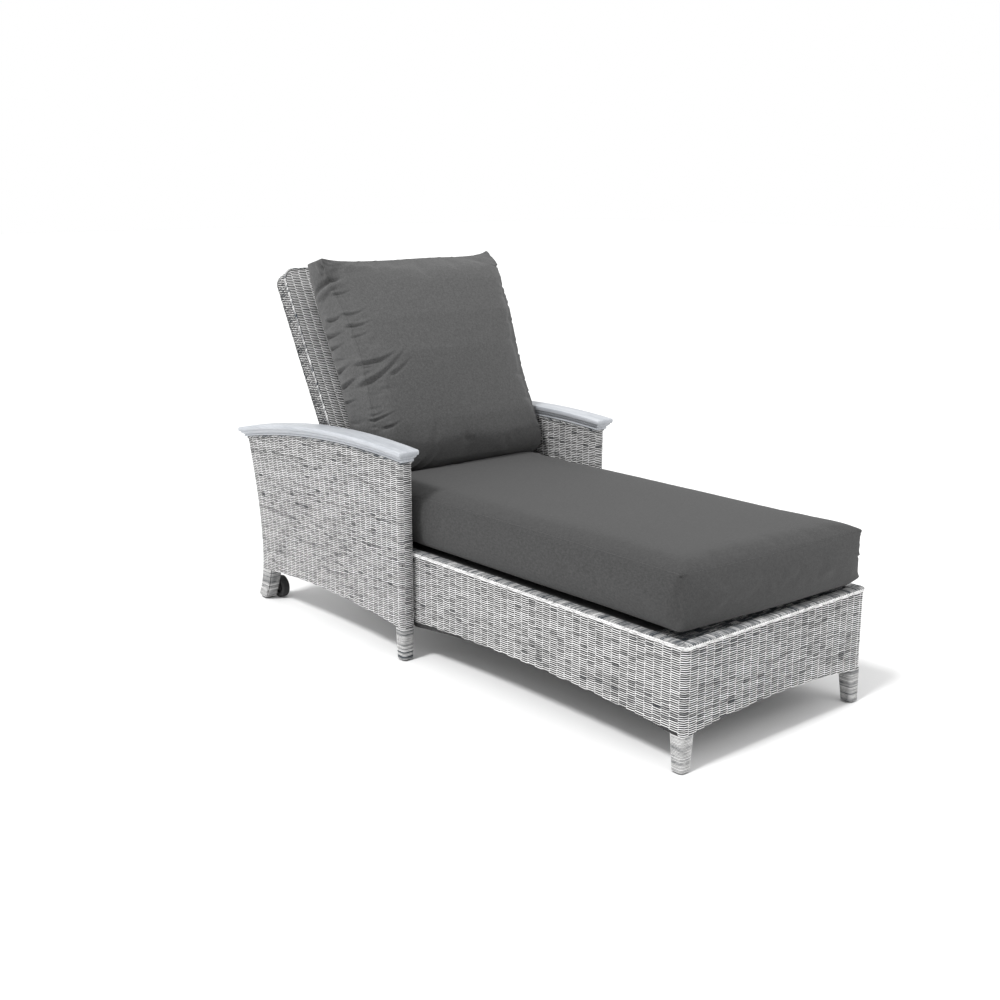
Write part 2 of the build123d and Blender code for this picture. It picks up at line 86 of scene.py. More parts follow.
leg_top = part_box("left_base_weave")[0].z
rail_low, rail_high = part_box("left_seat_rail")
foot_y = rail_low.y
base_x = -rail_low.x
rail_top = rail_high.z
rail_inner = -rail_high.x
post_low, post_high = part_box("left_arm_front_leg")
arm_outer = -post_low.x
arm_inner = -post_high.x
arm_front = post_low.y


# ---- mesh helpers ----
def add_object(name, data):
    """A mesh, a light or a camera as an object in the scene."""
    made = bpy.data.objects.new(name, data)
    bpy.context.collection.objects.link(made)
    return made


def add_piece(name, mesh, body, material):
    """A mesh as a piece that rides on a body."""
    piece = add_object(name, mesh)
    mesh.materials.append(material)
    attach(piece, body)
    return piece


def new_piece(name, verts, faces, body, slot, material):
    """A smooth-shaded piece from points and faces."""
    mesh = bpy.data.meshes.new(name)
    mesh.from_pydata([tuple(v) for v in verts], [], [tuple(f) for f in faces])
    mesh.polygons.foreach_set("use_smooth", [True] * len(mesh.polygons))
    mesh.update()
    return add_piece(name, mesh, body, material)


# A strand's half-round section: where its four edges lie across it, from -1 to 1, and how far up.
SECTION_ACROSS = np.array([-1.0, -0.5, 0.5, 1.0])
SECTION_UP = np.array([0.0, 1.0, 1.0, 0.0])


def strand_piece(name, corners, tone, along, body, material, closed=False):
    """Strands as one piece. corners has the four edges of each strand's section at each station."""
    count, stations = corners.shape[:2]
    verts = corners.reshape(-1, 3)
    index = np.arange(count * stations * 4).reshape(count, stations, 4)
    here = index if closed else index[:, :-1]
    there = np.roll(index, -1, axis=1) if closed else index[:, 1:]
    sides = np.stack([here, np.roll(here, -1, axis=2), np.roll(there, -1, axis=2), there], axis=-1)
    quads = sides.reshape(-1, 4)
    if not closed:
        ends = np.concatenate([index[:, 0, ::-1], index[:, -1]])
        quads = np.concatenate([quads, ends])
    ridge = corners[:, :, 1:3].mean(axis=2)
    root = corners[:, :, (0, 3)].mean(axis=2)
    across = corners[:, 0, 2] - corners[:, 0, 1]
    forward = ridge[:, 1] - ridge[:, 0]
    outward = ridge[:, 0] - root[:, 0]
    facing = np.einsum("ij,ij->i", np.cross(across, forward), outward)
    if np.median(facing) > 0:
        quads = quads[:, ::-1]
    mesh = bpy.data.meshes.new(name)
    mesh.vertices.add(len(verts))
    mesh.vertices.foreach_set("co", verts.astype(np.float32).ravel())
    mesh.loops.add(quads.size)
    mesh.loops.foreach_set("vertex_index", quads.astype(np.int32).ravel())
    mesh.polygons.add(len(quads))
    mesh.polygons.foreach_set("loop_start", np.arange(0, quads.size, 4, dtype=np.int32))
    mesh.polygons.foreach_set("use_smooth", np.ones(len(quads), dtype=bool))
    mesh.update(calc_edges=True)
    tones = np.repeat(tone, stations * 4).astype(np.float32)
    mesh.attributes.new("tone", "FLOAT", "POINT").data.foreach_set("value", tones)
    grain = np.zeros((count, stations, 4, 3), dtype=np.float32)
    grain[..., 0] = along[:, :, None]
    grain[..., 1] = SECTION_ACROSS * 0.5
    grain[..., 2] = tone[:, None, None] * 50
    mesh.attributes.new("grain", "FLOAT_VECTOR", "POINT").data.foreach_set("vector", grain.ravel())
    return add_piece(name, mesh, body, material)


def swept_corners(centre, side, up):
    """The four edges of half-round strands, from their centre lines, half widths and thicknesses."""
    half = side * 0.5
    return np.stack([centre - side, centre - half + up, centre + half + up, centre + side], axis=2)


PATH_STEP = 0.0005
ARC_POINTS = 12


class Path:
    """A plan line with rounded corners, read by its length: gives points and outward normals."""

    def __init__(self, points, radii, closed=False):
        points = [np.array(p, dtype=float) for p in points]
        count = len(points)
        line = []
        for i, point in enumerate(points):
            ends = not closed and i in (0, count - 1)
            radius = radii[i]
            if ends or radius == 0:
                line.append(point)
                continue
            before = points[i - 1] - point
            after = points[(i + 1) % count] - point
            before /= np.linalg.norm(before)
            after /= np.linalg.norm(after)
            half = math.acos(float(np.clip(before @ after, -1, 1))) / 2
            reach = radius / math.tan(half)
            middle = point + (before + after) / np.linalg.norm(before + after) * radius / math.sin(half)
            start = point + before * reach - middle
            end = point + after * reach - middle
            for t in np.linspace(0, 1, ARC_POINTS):
                turn = start * (1 - t) + end * t
                line.append(middle + turn / np.linalg.norm(turn) * radius)
        if closed:
            line.append(line[0])
        line = np.array(line)
        lengths = np.linalg.norm(np.diff(line, axis=0), axis=1)
        self.s = np.concatenate([[0], np.cumsum(lengths)])
        self.length = self.s[-1]
        dense = np.arange(0, self.length, PATH_STEP)
        xy = np.stack([np.interp(dense, self.s, line[:, i]) for i in (0, 1)], axis=1)
        tangent = np.roll(xy, -3, axis=0) - np.roll(xy, 3, axis=0)
        if not closed:
            tangent[:3] = tangent[3]
            tangent[-3:] = tangent[-4]
        tangent /= np.linalg.norm(tangent, axis=1, keepdims=True)
        self.dense, self.xy, self.tangent, self.closed = dense, xy, tangent, closed

    def at(self, s):
        s = np.mod(s, self.length) if self.closed else np.clip(s, 0, self.length)
        pick = [np.interp(s, self.dense, column) for column in (*self.xy.T, *self.tangent.T)]
        return pick[0], pick[1], pick[3], -pick[2]


def facing_points(node, direction, least=0.5):
    """The corner points of a CAD node's faces that look in a direction."""
    mesh = bpy.data.objects[node].data
    chosen = set()
    for polygon in mesh.polygons:
        if polygon.normal.dot(direction) > least:
            chosen.update(polygon.vertices)
    return np.array([mesh.vertices[i].co for i in chosen])


def arc_through(points, along=1):
    """A parabola through points of a shallow arc: its height as a function of the place along it."""
    return np.poly1d(np.polyfit(points[:, along], points[:, 2], 2))


# ---- weaving ----
# The part of a strand that shows over a stake: its stations along it, in stakes, and how proud each is.
OVER_STATIONS = np.array([-0.62, -0.41, 0.0, 0.41, 0.62])
OVER_LIFT = np.array([-0.25, 0.86, 1.0, 0.86, -0.25])
# A strand's shade, from 0, dark, to 1, light, and how far it strays by row, by stretch and by strand.
PLAIN_SHADE = 0.62
ROW_TONE, STRETCH_TONE, STRAND_TONE, WRAP_TONE = 0.08, 0.10, 0.11, 0.12
# How far a strand strays along its row, from its level and in slant, and in its width and lift.
ALONG_JITTER, LEVEL_JITTER, SLANT_JITTER = 0.0005, 0.00012, 0.0002
WIDTH_SPREAD, LIFT_SPREAD = 0.06, 0.05
THINNEST = 0.0008
# How far each row or turn moves along the grain, so that no two have the same streaks.
ROW_GRAIN, TURN_GRAIN = 7.3, 0.37


def weave(
    name, body, length, low, high, place, span, keep=None,
    stake_pitch=STAKE_PITCH, row_pitch=ROW_PITCH, shade=PLAIN_SHADE, cover=1.0,
):
    """Plain weave: the parts of the strands that pass over a stake. Rows run along u and stack along v.

    low(u) and high(u) bound v, and place(u, v, h) gives the point h above the skin.
    """
    stakes = max(2, round(length / stake_pitch / 2) * 2)
    pitch = length / stakes
    v_low, v_high = span
    rows = int((v_high - v_low) / row_pitch)
    stake, row = np.meshgrid(np.arange(stakes), np.arange(rows), indexing="ij")
    over = (stake + row) % 2 == 0
    stake, row = stake[over], row[over]
    count = len(row)
    row_tone = shade + ROW_TONE * random.standard_normal(rows)
    stretch = random.standard_normal((stakes // 3 + 1, rows))[stake // 3, row]
    tone = row_tone[row] + STRETCH_TONE * stretch + STRAND_TONE * random.standard_normal(count)
    u_centre = (stake + 0.5) * pitch + random.normal(0, ALONG_JITTER, count)
    v_centre = v_low + (row + 0.5) * row_pitch + random.normal(0, LEVEL_JITTER, count)
    u = u_centre[:, None] + OVER_STATIONS * pitch
    plain_width = cover * STRAND_WIDTH * row_pitch / ROW_PITCH
    width = plain_width * (1 + random.normal(0, WIDTH_SPREAD, (count, 1))) + 0 * u
    lift = STRAND_PROUD * OVER_LIFT * (1 + random.normal(0, LIFT_SPREAD, (count, 1)))
    slant = random.normal(0, SLANT_JITTER, (count, 1)) * OVER_STATIONS
    v = (v_centre[:, None] + slant)[:, :, None] + width[:, :, None] / 2 * SECTION_ACROSS
    h = lift[:, :, None] - STRAND_THICKNESS * (1 - SECTION_UP)
    u = np.broadcast_to(u[:, :, None], v.shape)
    clipped = np.clip(v, low(u), high(u))
    kept = (clipped[:, 2].max(axis=1) - clipped[:, 2].min(axis=1)) > THINNEST
    if keep is not None:
        kept &= keep(u_centre, v_centre)
    corners = place(u, clipped, h)[kept]
    along = (u[:, :, 0] + ROW_GRAIN * row[:, None] * ROW_PITCH)[kept]
    return strand_piece(name, corners, tone[kept], along, body, resin)


def wrap(name, body, centre, side, up, closed=False, shade=PLAIN_SHADE):
    """Resin strands as one piece, each with its centre line, its half width and its thickness."""
    corners = swept_corners(centre, side, up)
    tone = shade + WRAP_TONE * random.standard_normal(len(centre))
    steps = np.linalg.norm(np.diff(centre, axis=1), axis=2)
    along = np.concatenate([np.zeros((len(centre), 1)), np.cumsum(steps, axis=1)], axis=1)
    along = along + np.arange(len(centre))[:, None] * TURN_GRAIN
    return strand_piece(name, corners, tone, along, body, resin, closed)


# ---- materials ----
class Finish:
    """A material with one Principled surface, and a short way to add and link nodes."""

    def __init__(self, name, roughness, metallic=0.0, **sockets):
        self.material = bpy.data.materials.new(name)
        self.material.use_nodes = True
        self.nodes = self.material.node_tree.nodes
        self.links = self.material.node_tree.links
        self.surface = self.nodes["Principled BSDF"]
        self.surface.inputs["Roughness"].default_value = roughness
        self.surface.inputs["Metallic"].default_value = metallic
        for socket, value in sockets.items():
            self.surface.inputs[socket.replace("_", " ")].default_value = value

    def add(self, kind, inputs=None, **settings):
        node = self.nodes.new("ShaderNode" + kind)
        for key, value in settings.items():
            setattr(node, key, value)
        for key, value in (inputs or {}).items():
            if isinstance(value, bpy.types.NodeSocket):
                self.links.new(value, node.inputs[key])
            else:
                node.inputs[key].default_value = value
        return node

    def coordinates(self, scale=(1, 1, 1)):
        place = self.add("TexCoord").outputs["Object"]
        return self.add("Mapping", {"Vector": place, "Scale": scale}).outputs["Vector"]

    def noise(self, vector, scale, detail=3.0, roughness=0.5):
        inputs = {"Vector": vector, "Scale": scale, "Detail": detail, "Roughness": roughness}
        return self.add("TexNoise", inputs).outputs["Fac"]

    def ramp(self, factor, *stops):
        node = self.add("ValToRGB", {"Fac": factor})
        elements = node.color_ramp.elements
        while len(elements) < len(stops):
            elements.new(0.5)
        for element, (position, colour) in zip(elements, stops):
            element.position = position
            element.color = (*colour, 1.0)
        return node.outputs["Color"]

    def maths(self, operation, a, b, clamp=False):
        return self.add("Math", {0: a, 1: b}, operation=operation, use_clamp=clamp).outputs["Value"]

    def mixed(self, *shares):
        """The sum of some levels, each times its weight."""
        total = None
        for level, weight in shares:
            part = self.maths("MULTIPLY", level, weight)
            total = part if total is None else self.maths("ADD", total, part)
        return total

    def colour(self, socket):
        self.links.new(socket, self.surface.inputs["Base Color"])

    def rough(self, factor, low, high):
        inputs = {"Value": factor, "To Min": low, "To Max": high}
        self.links.new(self.add("MapRange", inputs).outputs["Result"], self.surface.inputs["Roughness"])

    def bump(self, height, distance, strength=1.0):
        inputs = {"Height": height, "Distance": distance, "Strength": strength}
        self.links.new(self.add("Bump", inputs).outputs["Normal"], self.surface.inputs["Normal"])


def grey(value, warmth=0.0):
    return (value * (1 + warmth), value, value * (1 - warmth))


def resin_finish():
    """Variegated resin strand: each strand has its own shade, with fine streaks along it, and painted
    shade that darkens its two edges.
    """
    f = Finish("woven_resin_strand", 0.5, Specular_IOR_Level=0.35)
    tone = f.add("Attribute", attribute_name="tone").outputs["Fac"]
    grain = f.add("Attribute", attribute_name="grain").outputs["Vector"]
    stretched = f.add("Mapping", {"Vector": grain, "Scale": (55, 3.2, 1)}).outputs["Vector"]
    streak = f.noise(stretched, 1.0, 3.0, 0.6)
    patch = f.noise(f.coordinates(), 42.0, 2.0)
    mixed = f.maths("ADD", tone, f.maths("MULTIPLY", f.maths("SUBTRACT", streak, 0.5), 0.75))
    mixed = f.maths("ADD", mixed, f.maths("MULTIPLY", f.maths("SUBTRACT", patch, 0.5), 0.35), clamp=True)
    # The darkest stops are blue-grey: painted shade, a sky-lit shadow colour, reached by the low shades
    # given to the rail wraps and the deck's strands.
    shades = f.ramp(
        mixed,
        (0.0, (0.035, 0.047, 0.060)),
        (0.2, grey(0.24, -0.02)),
        (0.4, grey(0.56, 0.006)),
        (0.62, grey(0.82, 0.004)),
        (0.85, grey(0.94, 0.002)),
    )
    # Painted shade: each strand darkens towards its two edges, down to about an eighth of its colour, as
    # if shaded where it turns into the gaps.
    edge = f.maths("ABSOLUTE", f.add("SeparateXYZ", {"Vector": grain}).outputs["Y"], 0.0)
    edge_range = {"Value": edge, "From Min": 0.27, "From Max": 0.5, "To Min": 1.0, "To Max": 0.12}
    painted_edge_shade = f.add("MapRange", edge_range).outputs["Result"]
    darkening = f.add("CombineColor", {0: painted_edge_shade, 1: painted_edge_shade, 2: painted_edge_shade}).outputs[0]
    product = f.add("Mix", {0: 1.0, 6: shades, 7: darkening}, data_type="RGBA", blend_type="MULTIPLY")
    f.colour(product.outputs[2])
    f.rough(streak, 0.42, 0.6)
    f.bump(streak, 0.0002, 0.5)
    return f.material


def gap_shade_finish():
    """What lies behind the strands: painted shade, the same weave as it looks in the shade of its gaps,
    near black.
    """
    f = Finish("woven_resin_ground", 0.65)
    place = f.coordinates()
    wave = {"Vector": place, "Scale": 62.0, "Distortion": 0.6, "Detail": 1.0}
    bands = f.add("TexWave", wave, bands_direction="Z").outputs["Fac"]
    cells = f.add("TexChecker", {"Vector": place, "Scale": 39.0}).outputs["Fac"]
    spots = f.noise(place, 160.0, 3.0)
    level = f.maths("MULTIPLY", bands, f.maths("ADD", f.maths("MULTIPLY", cells, 0.3), 0.7))
    level = f.mixed((level, 0.6), (spots, 0.4))
    f.colour(f.ramp(level, (0.15, grey(0.008)), (0.8, grey(0.040))))
    f.rough(spots, 0.55, 0.8)
    f.bump(level, 0.0008, 0.6)
    return f.material


def cap_finish():
    """Limed wood-look arm cap: near white, with faint long grain and small pores."""
    f = Finish("limed_cap", 0.42, Specular_IOR_Level=0.45)
    long_grain = f.coordinates((26, 1.6, 26))
    fibre = f.noise(long_grain, 14.0, 5.0, 0.62)
    figure = f.noise(f.coordinates((9, 0.7, 9)), 5.0, 3.0)
    level = f.mixed((fibre, 0.65), (figure, 0.35))
    dark, middle, light = (0.34, 0.36, 0.39), (0.47, 0.49, 0.52), (0.57, 0.585, 0.615)
    f.colour(f.ramp(level, (0.3, dark), (0.5, middle), (0.68, light)))
    f.rough(fibre, 0.34, 0.55)
    f.bump(fibre, 0.0005, 0.35)
    return f.material


def fabric_finish(name, shade):
    """Plain-woven outdoor cloth: two crossing sets of yarns, each yarn a little lighter or darker."""
    f = Finish(name, 0.85, Specular_IOR_Level=0.25, Sheen_Weight=0.12, Sheen_Roughness=0.55)
    weft = f.noise(f.coordinates((1.0, 9.0, 9.0)), 130.0, 2.0, 0.6)
    warp = f.noise(f.coordinates((9.0, 1.0, 1.6)), 130.0, 2.0, 0.6)
    yarns = f.add("TexVoronoi", {"Vector": f.coordinates(), "Scale": 620.0}).outputs["Distance"]
    heather = f.noise(f.coordinates(), 150.0, 4.0, 0.65)
    level = f.mixed((weft, 0.35), (warp, 0.35), (heather, 0.3))
    f.colour(f.ramp(level, (0.38, grey(0.70 * shade)), (0.5, grey(shade)), (0.62, grey(1.36 * shade))))
    f.rough(level, 0.78, 0.92)
    f.bump(f.maths("ADD", level, f.maths("MULTIPLY", yarns, 0.25)), 0.0006, 0.5)
    return f.material


def seam_finish():
    """Sewing thread and the turned edge along a seam."""
    f = Finish("seam_thread", 0.8, Specular_IOR_Level=0.2)
    stitches = f.noise(f.coordinates(), 420.0, 2.0)
    f.colour(f.ramp(stitches, (0.3, grey(0.05)), (0.7, grey(0.10))))
    f.rough(stitches, 0.7, 0.9)
    f.bump(stitches, 0.0004, 0.6)
    return f.material


def worn_finish(name, dark, light, roughness, metallic=0.0, spots=90.0, depth=0.0003):
    """A moulded, painted or plated surface with fine texture and slight wear."""
    f = Finish(name, roughness, metallic)
    fine = f.noise(f.coordinates(), spots * 9, 3.0)
    broad = f.noise(f.coordinates(), spots * 0.3, 4.0, 0.6)
    level = f.mixed((fine, 0.35), (broad, 0.65))
    f.colour(f.ramp(level, (0.35, grey(dark)), (0.65, grey(light))))
    f.rough(broad, max(0.05, roughness - 0.12), min(1.0, roughness + 0.12))
    f.bump(fine, depth, 0.35)
    return f.material


resin = resin_finish()
gap_shade = gap_shade_finish()
limed = cap_finish()
# One cloth in two copies: the back cushion's is lighter, painted light for its front, which faces away
# from the key light.
seat_fabric = fabric_finish("seat_fabric", 0.043)
back_fabric = fabric_finish("back_fabric", 0.078)
thread = seam_finish()
finishes = {
    # The CAD weave panels take the near-black painted gap shade.
    "woven_resin": gap_shade,
    "limed_cap": limed,
    "cushion_fabric": seat_fabric,
    "tyre_rubber": worn_finish("tyre_rubber", 0.012, 0.028, 0.75),
    "black_plastic": worn_finish("black_plastic", 0.018, 0.035, 0.5),
    "zinc_steel": worn_finish("zinc_steel", 0.45, 0.62, 0.32, 1.0),
    "painted_steel": worn_finish("painted_steel", 0.16, 0.21, 0.45),
    "painted_tube": worn_finish("painted_tube", 0.26, 0.32, 0.5),
}
for part in frame["record"]["subparts"]:
    node = bpy.data.objects[part["node"]]
    for slot_place in node.material_slots:
        slot_place.material = finishes[part["material_slot"]]
    if not node.material_slots:
        node.data.materials.append(finishes[part["material_slot"]])
# Painted shade: the back's stiles and top rail take the near-black gap shade, so under the edge strands
# they read as shaded gaps.
for name in ("left_back_stile", "right_back_stile", "back_top_rail"):
    for slot_place in bpy.data.objects[name].material_slots:
        slot_place.material = gap_shade


# ---- base weave ----
seat_end = rail_high.y
corner = 0.014
base_path = Path(
    [(-base_x, seat_end), (-base_x, foot_y), (base_x, foot_y), (base_x, seat_end)], [0, corner, corner, 0]
)


def arch_below(node, along):
    """The arched lower edge of a base panel, without its straight ends over the legs."""
    points = facing_points(node, DOWN)
    return arc_through(points[points[:, 2] > leg_top + 0.0005], along)


side_arch = arch_below("left_base_weave", along=1)
foot_arch = arch_below("foot_weave", along=0)


def base_low_edge(u):
    x, y, _, _ = base_path.at(u)
    side = np.where(y < arm_front, np.maximum(side_arch(y), leg_top), leg_top)
    front = np.maximum(foot_arch(x), leg_top)
    return np.where(y > foot_y + corner, side, front)


def base_place(u, v, h):
    x, y, nx, ny = base_path.at(u)
    return np.stack([x + nx * h, y + ny * h, v], axis=-1)


WEAVE_TOP = rail_top - 0.0085


def base_visible(u, v):
    return base_path.at(u)[1] < arm_front + 0.06


weave(
    "base_strands", "base", base_path.length, base_low_edge, lambda u: WEAVE_TOP, base_place,
    span=(leg_top, WEAVE_TOP + ROW_PITCH), keep=base_visible,
)


# ---- edge wraps and braids ----
def rail_reach(x, y):
    """How far a wrap reaches in over the rail: less near the corners, where two rails meet."""
    on_foot = y < foot_y + corner
    room = np.where(on_foot, base_x - np.abs(x), y - foot_y)
    return np.clip(room, 0.009, base_x - rail_inner)


# A strand over the seat rail, station by station: the way out, the level, and what it faces, out and up.
RAIL_PROFILE = np.array(
    [
        (0.0012, rail_top - 0.0030, 1, 0.2),
        (0.0004, rail_top - 0.0004, 0.7, 0.7),
        (-0.0035, rail_top + 0.0006, 0.1, 1),
        (-0.0150, rail_top + 0.0006, 0, 1),
        (-0.0240, rail_top + 0.0002, -0.1, 1),
        (-0.0300, rail_top - 0.0030, -0.6, 0.8),
    ]
)


def rail_wraps():
    """Strands wound side by side over the top of the base, from its outer face in over the rail."""
    places = np.arange(WRAP_PITCH / 2, base_path.length, WRAP_PITCH)
    x, y, nx, ny = (values[:, None] for values in base_path.at(places))
    out, level, faces_out, faces_up = RAIL_PROFILE.T
    out = np.maximum(out, -rail_reach(x, y))
    level = level + random.normal(0, 0.0002, (len(places), 1))
    centre = np.stack([x + nx * out, y + ny * out, level], axis=-1)
    up = np.stack([nx * faces_out, ny * faces_out, faces_up + 0 * out], axis=-1)
    up = up / np.linalg.norm(up, axis=-1, keepdims=True) * STRAND_THICKNESS
    side = np.stack([-ny + 0 * out, nx + 0 * out, 0 * out], axis=-1) * WRAP_WIDTH / 2
    # Painted shade: these wraps are given a dark shade, standing for the shadow of the cushion over the
    # rail's top.
    wrap("rail_wraps", "base", centre, side, up, shade=0.24)


rail_wraps()

# A border's strands: their pitch, half length and half width, how far out the ends stand and how much
# further the middle does, the rise from the middle to an end, and the step from row to row.
BRAID_PITCH, BRAID_REACH, BRAID_HALF_WIDTH = 0.0082, 0.0072, 0.0017
BRAID_PROUD, BRAID_CROWN, BRAID_RISE = 0.0018, 0.0016, 0.0016
BRAID_STAGGER, BRAID_DROP = 0.004, 0.0038


def braid(name, path, to_world, level, rows, shade=PLAIN_SHADE):
    """A twisted border: short slanted strands that overlap along a line, in one row or two."""
    t = np.array([-1.0, -0.5, 0.0, 0.5, 1.0])
    pieces = []
    for row in range(rows):
        turn = 1 if row % 2 == 0 else -1
        places = np.arange(BRAID_STAGGER, path.length - BRAID_STAGGER, BRAID_PITCH) + BRAID_STAGGER * row
        s = places[:, None] + t * BRAID_REACH
        a, b, na, nb = path.at(s)
        lift = BRAID_PROUD + BRAID_CROWN * (1 - t**2)
        height = level(s) - row * BRAID_DROP + turn * t * BRAID_RISE
        centre = to_world(a + na * lift, b + nb * lift, height)
        up = to_world(na, nb, 0 * a, direction=True) * STRAND_THICKNESS
        side = to_world(0 * a, 0 * a, 1 + 0 * a, direction=True) * BRAID_HALF_WIDTH
        pieces.append((centre, side, up))
    centre, side, up = (np.concatenate(part) for part in zip(*pieces))
    wrap(name, "base", centre, side, up, shade=shade)


def upright(a, b, level, direction=False):
    return np.stack([a, b, level], axis=-1)


braid("rail_braid", base_path, upright, lambda s: rail_top - 0.0022 + 0 * s, rows=2)


# ---- legs ----
RING_STATIONS = 28
RING_PROUD, RING_THICKNESS, RING_SHADE = 0.0004, 0.0016, 0.36


def leg_rings(name, section, z_low, z_high, sign):
    """Strands wound round a leg. section(z) gives its low x, high x, low y, high y and corner radius."""
    levels = np.arange(z_low + WRAP_PITCH / 2, z_high, WRAP_PITCH)
    centre = np.zeros((len(levels), RING_STATIONS, 3))
    outward = np.zeros_like(centre)
    for i, z in enumerate(levels):
        x0, x1, y0, y1, radius = section(z)
        loop = Path([(x0, y0), (x1, y0), (x1, y1), (x0, y1)], [radius] * 4, closed=True)
        x, y, nx, ny = loop.at(np.linspace(0, loop.length, RING_STATIONS, endpoint=False))
        centre[i] = np.stack([x, y, z + 0 * x], axis=-1)
        outward[i] = np.stack([nx, ny, 0 * x], axis=-1)
    centre[..., 0] *= sign
    outward[..., 0] *= sign
    side = np.zeros_like(centre)
    side[..., 2] = WRAP_WIDTH / 2
    centre = centre + outward * RING_PROUD
    wrap(name, "base", centre, side, outward * RING_THICKNESS, closed=True, shade=RING_SHADE)


glide_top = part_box("leg_glides")[1].z
LEG_TOP_SIZE, LEG_FOOT_SIZE = 0.038, 0.030
ARM_LEG_TOP, ARM_LEG_FOOT = 0.035, 0.031
ARM_LEG_DEEPENS = 0.007
LEG_CORNER = 0.008


def taper(z, top, foot_size, growth):
    """A leg's size at a height: it grows evenly from its glide to its top."""
    return foot_size + growth * (z - glide_top) / (top - glide_top)


def foot_leg_section(z):
    size = taper(z, leg_top, LEG_FOOT_SIZE, LEG_TOP_SIZE - LEG_FOOT_SIZE)
    return -base_x, -base_x + size, foot_y, foot_y + size, LEG_CORNER


def arm_leg_section(z):
    size = taper(z, arm_leg_top, ARM_LEG_FOOT, ARM_LEG_TOP - ARM_LEG_FOOT)
    deep = taper(z, arm_leg_top, ARM_LEG_FOOT, ARM_LEG_DEEPENS)
    return -arm_outer, -arm_outer + size, arm_front, arm_front + deep, LEG_CORNER


# Within what height the rear leg's edge points are compared, and how much further in a hole's wall is.
EDGE_WINDOW, HOLE_DEPTH = 0.010, 0.008


def sabre_edge(turn):
    """The rear leg's rear (1) or front (-1) edge as y from z, without the walls of its bolt holes."""
    points = facing_points("left_arm_rear_leg", Vector((0, turn, 0)), 0.3)
    points = points[np.argsort(points[:, 2])]
    near = np.abs(points[:, None, 2] - points[None, :, 2]) < EDGE_WINDOW
    edge = np.where(near, turn * points[None, :, 1], -np.inf).max(axis=1)
    points = points[turn * points[:, 1] > edge - HOLE_DEPTH]
    return lambda z: np.interp(z, points[:, 2], points[:, 1])


sabre_rear, sabre_front = sabre_edge(1), sabre_edge(-1)


def sabre_section(z):
    return -arm_outer, -arm_inner, sabre_front(z), sabre_rear(z), 0.0035


arm_arch_points = facing_points("left_arm_outer_weave", DOWN)
arm_arch = arc_through(arm_arch_points)
arm_leg_top = float(arm_arch_points[:, 2].min())
sabre_leg_top = 0.1
for side_name, sign in SIDES:
    leg_rings(side_name + "_foot_leg_wraps", foot_leg_section, glide_top, leg_top, sign)
    leg_rings(side_name + "_arm_front_leg_wraps", arm_leg_section, glide_top, arm_leg_top, sign)
    leg_rings(side_name + "_arm_rear_leg_wraps", sabre_section, 0.006, sabre_leg_top, sign)


# ---- arms ----
cap_line_points = facing_points("left_arm_outer_weave", UP)
cap_line = arc_through(cap_line_points)
rear_top = float(sabre_rear(0.49))
stretch_from = arm_front + 0.03
CAP_LEVEL = 0.5
arm_path = Path(
    [(-arm_outer, rear_top), (-arm_outer, arm_front), (-arm_inner, arm_front), (-arm_inner, rear_top)],
    [0.0025, 0.008, 0.008, 0.0025],
    closed=True,
)


def arm_depth(y, z):
    """The rows end at the sabre-shaped rear edge, so the stakes fan out to follow it."""
    share = (sabre_rear(z) - stretch_from) / (rear_top - stretch_from)
    return np.where(y > stretch_from, stretch_from + (y - stretch_from) * share, y)


def arm_low_edge(u):
    y = arm_depth(arm_path.at(u)[1], sabre_leg_top)
    behind = y > sabre_front(sabre_leg_top) - 0.002
    edge = np.where(y < arm_front + 0.035, arm_leg_top, arm_arch(y))
    return np.where(behind, sabre_leg_top, edge)


def under_cap(u):
    """The level at which the arm's skin meets its cap."""
    return cap_line(arm_depth(arm_path.at(u)[1], CAP_LEVEL))


def arm_braid_level(s):
    return under_cap(s) - 0.0035


def arm_placer(sign):
    def place(u, v, h):
        x, y, nx, ny = arm_path.at(u)
        return np.stack([sign * (x + nx * h), arm_depth(y, v) + ny * h, v], axis=-1)

    return place


def arm_world(sign):
    def to_world(a, b, level, direction=False):
        return np.stack([sign * a, b if direction else arm_depth(b, CAP_LEVEL), level], axis=-1)

    return to_world


for side_name, sign in SIDES:
    weave(
        side_name + "_arm_strands", "base", arm_path.length, arm_low_edge,
        lambda u: under_cap(u) - 0.0005, arm_placer(sign),
        span=(arm_leg_top, float(cap_line_points[:, 2].max()) + ROW_PITCH),
    )
    # Painted shade: the braid under each cap is given a dark shade, standing for the cap's shadow.
    braid(side_name + "_arm_braid", arm_path, arm_world(sign), arm_braid_level, rows=1, shade=0.22)


# ---- backrest weave ----
def lying(y, z):
    """How far up the back and how far out from it a point lies, from where it is beside the hinge."""
    s = y * math.cos(BACK_ANGLE) + z * math.sin(BACK_ANGLE)
    n = -y * math.sin(BACK_ANGLE) + z * math.cos(BACK_ANGLE)
    return s, n


def back_box():
    """The backrest frame's size lying flat: half width, start, length, and half thickness."""
    half_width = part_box("back_front_weave")[1].x
    points = []
    for name in ("back_front_weave", "back_rear_weave"):
        for vertex in bpy.data.objects[name].data.vertices:
            points.append(vertex.co - HINGE)
    s, n = lying(np.array([p.y for p in points]), np.array([p.z for p in points]))
    return half_width, s.min(), s.max(), n.max()


back_half, back_start, back_end, back_face = back_box()
top_radius = 0.038


def back_world(x, s, n, direction=False):
    origin = (0, 0) if direction else (HINGE.y, HINGE.z)
    y = origin[0] + s * math.cos(BACK_ANGLE) - n * math.sin(BACK_ANGLE)
    z = origin[1] + s * math.sin(BACK_ANGLE) + n * math.cos(BACK_ANGLE)
    return np.stack([x + 0 * y, y, z], axis=-1)


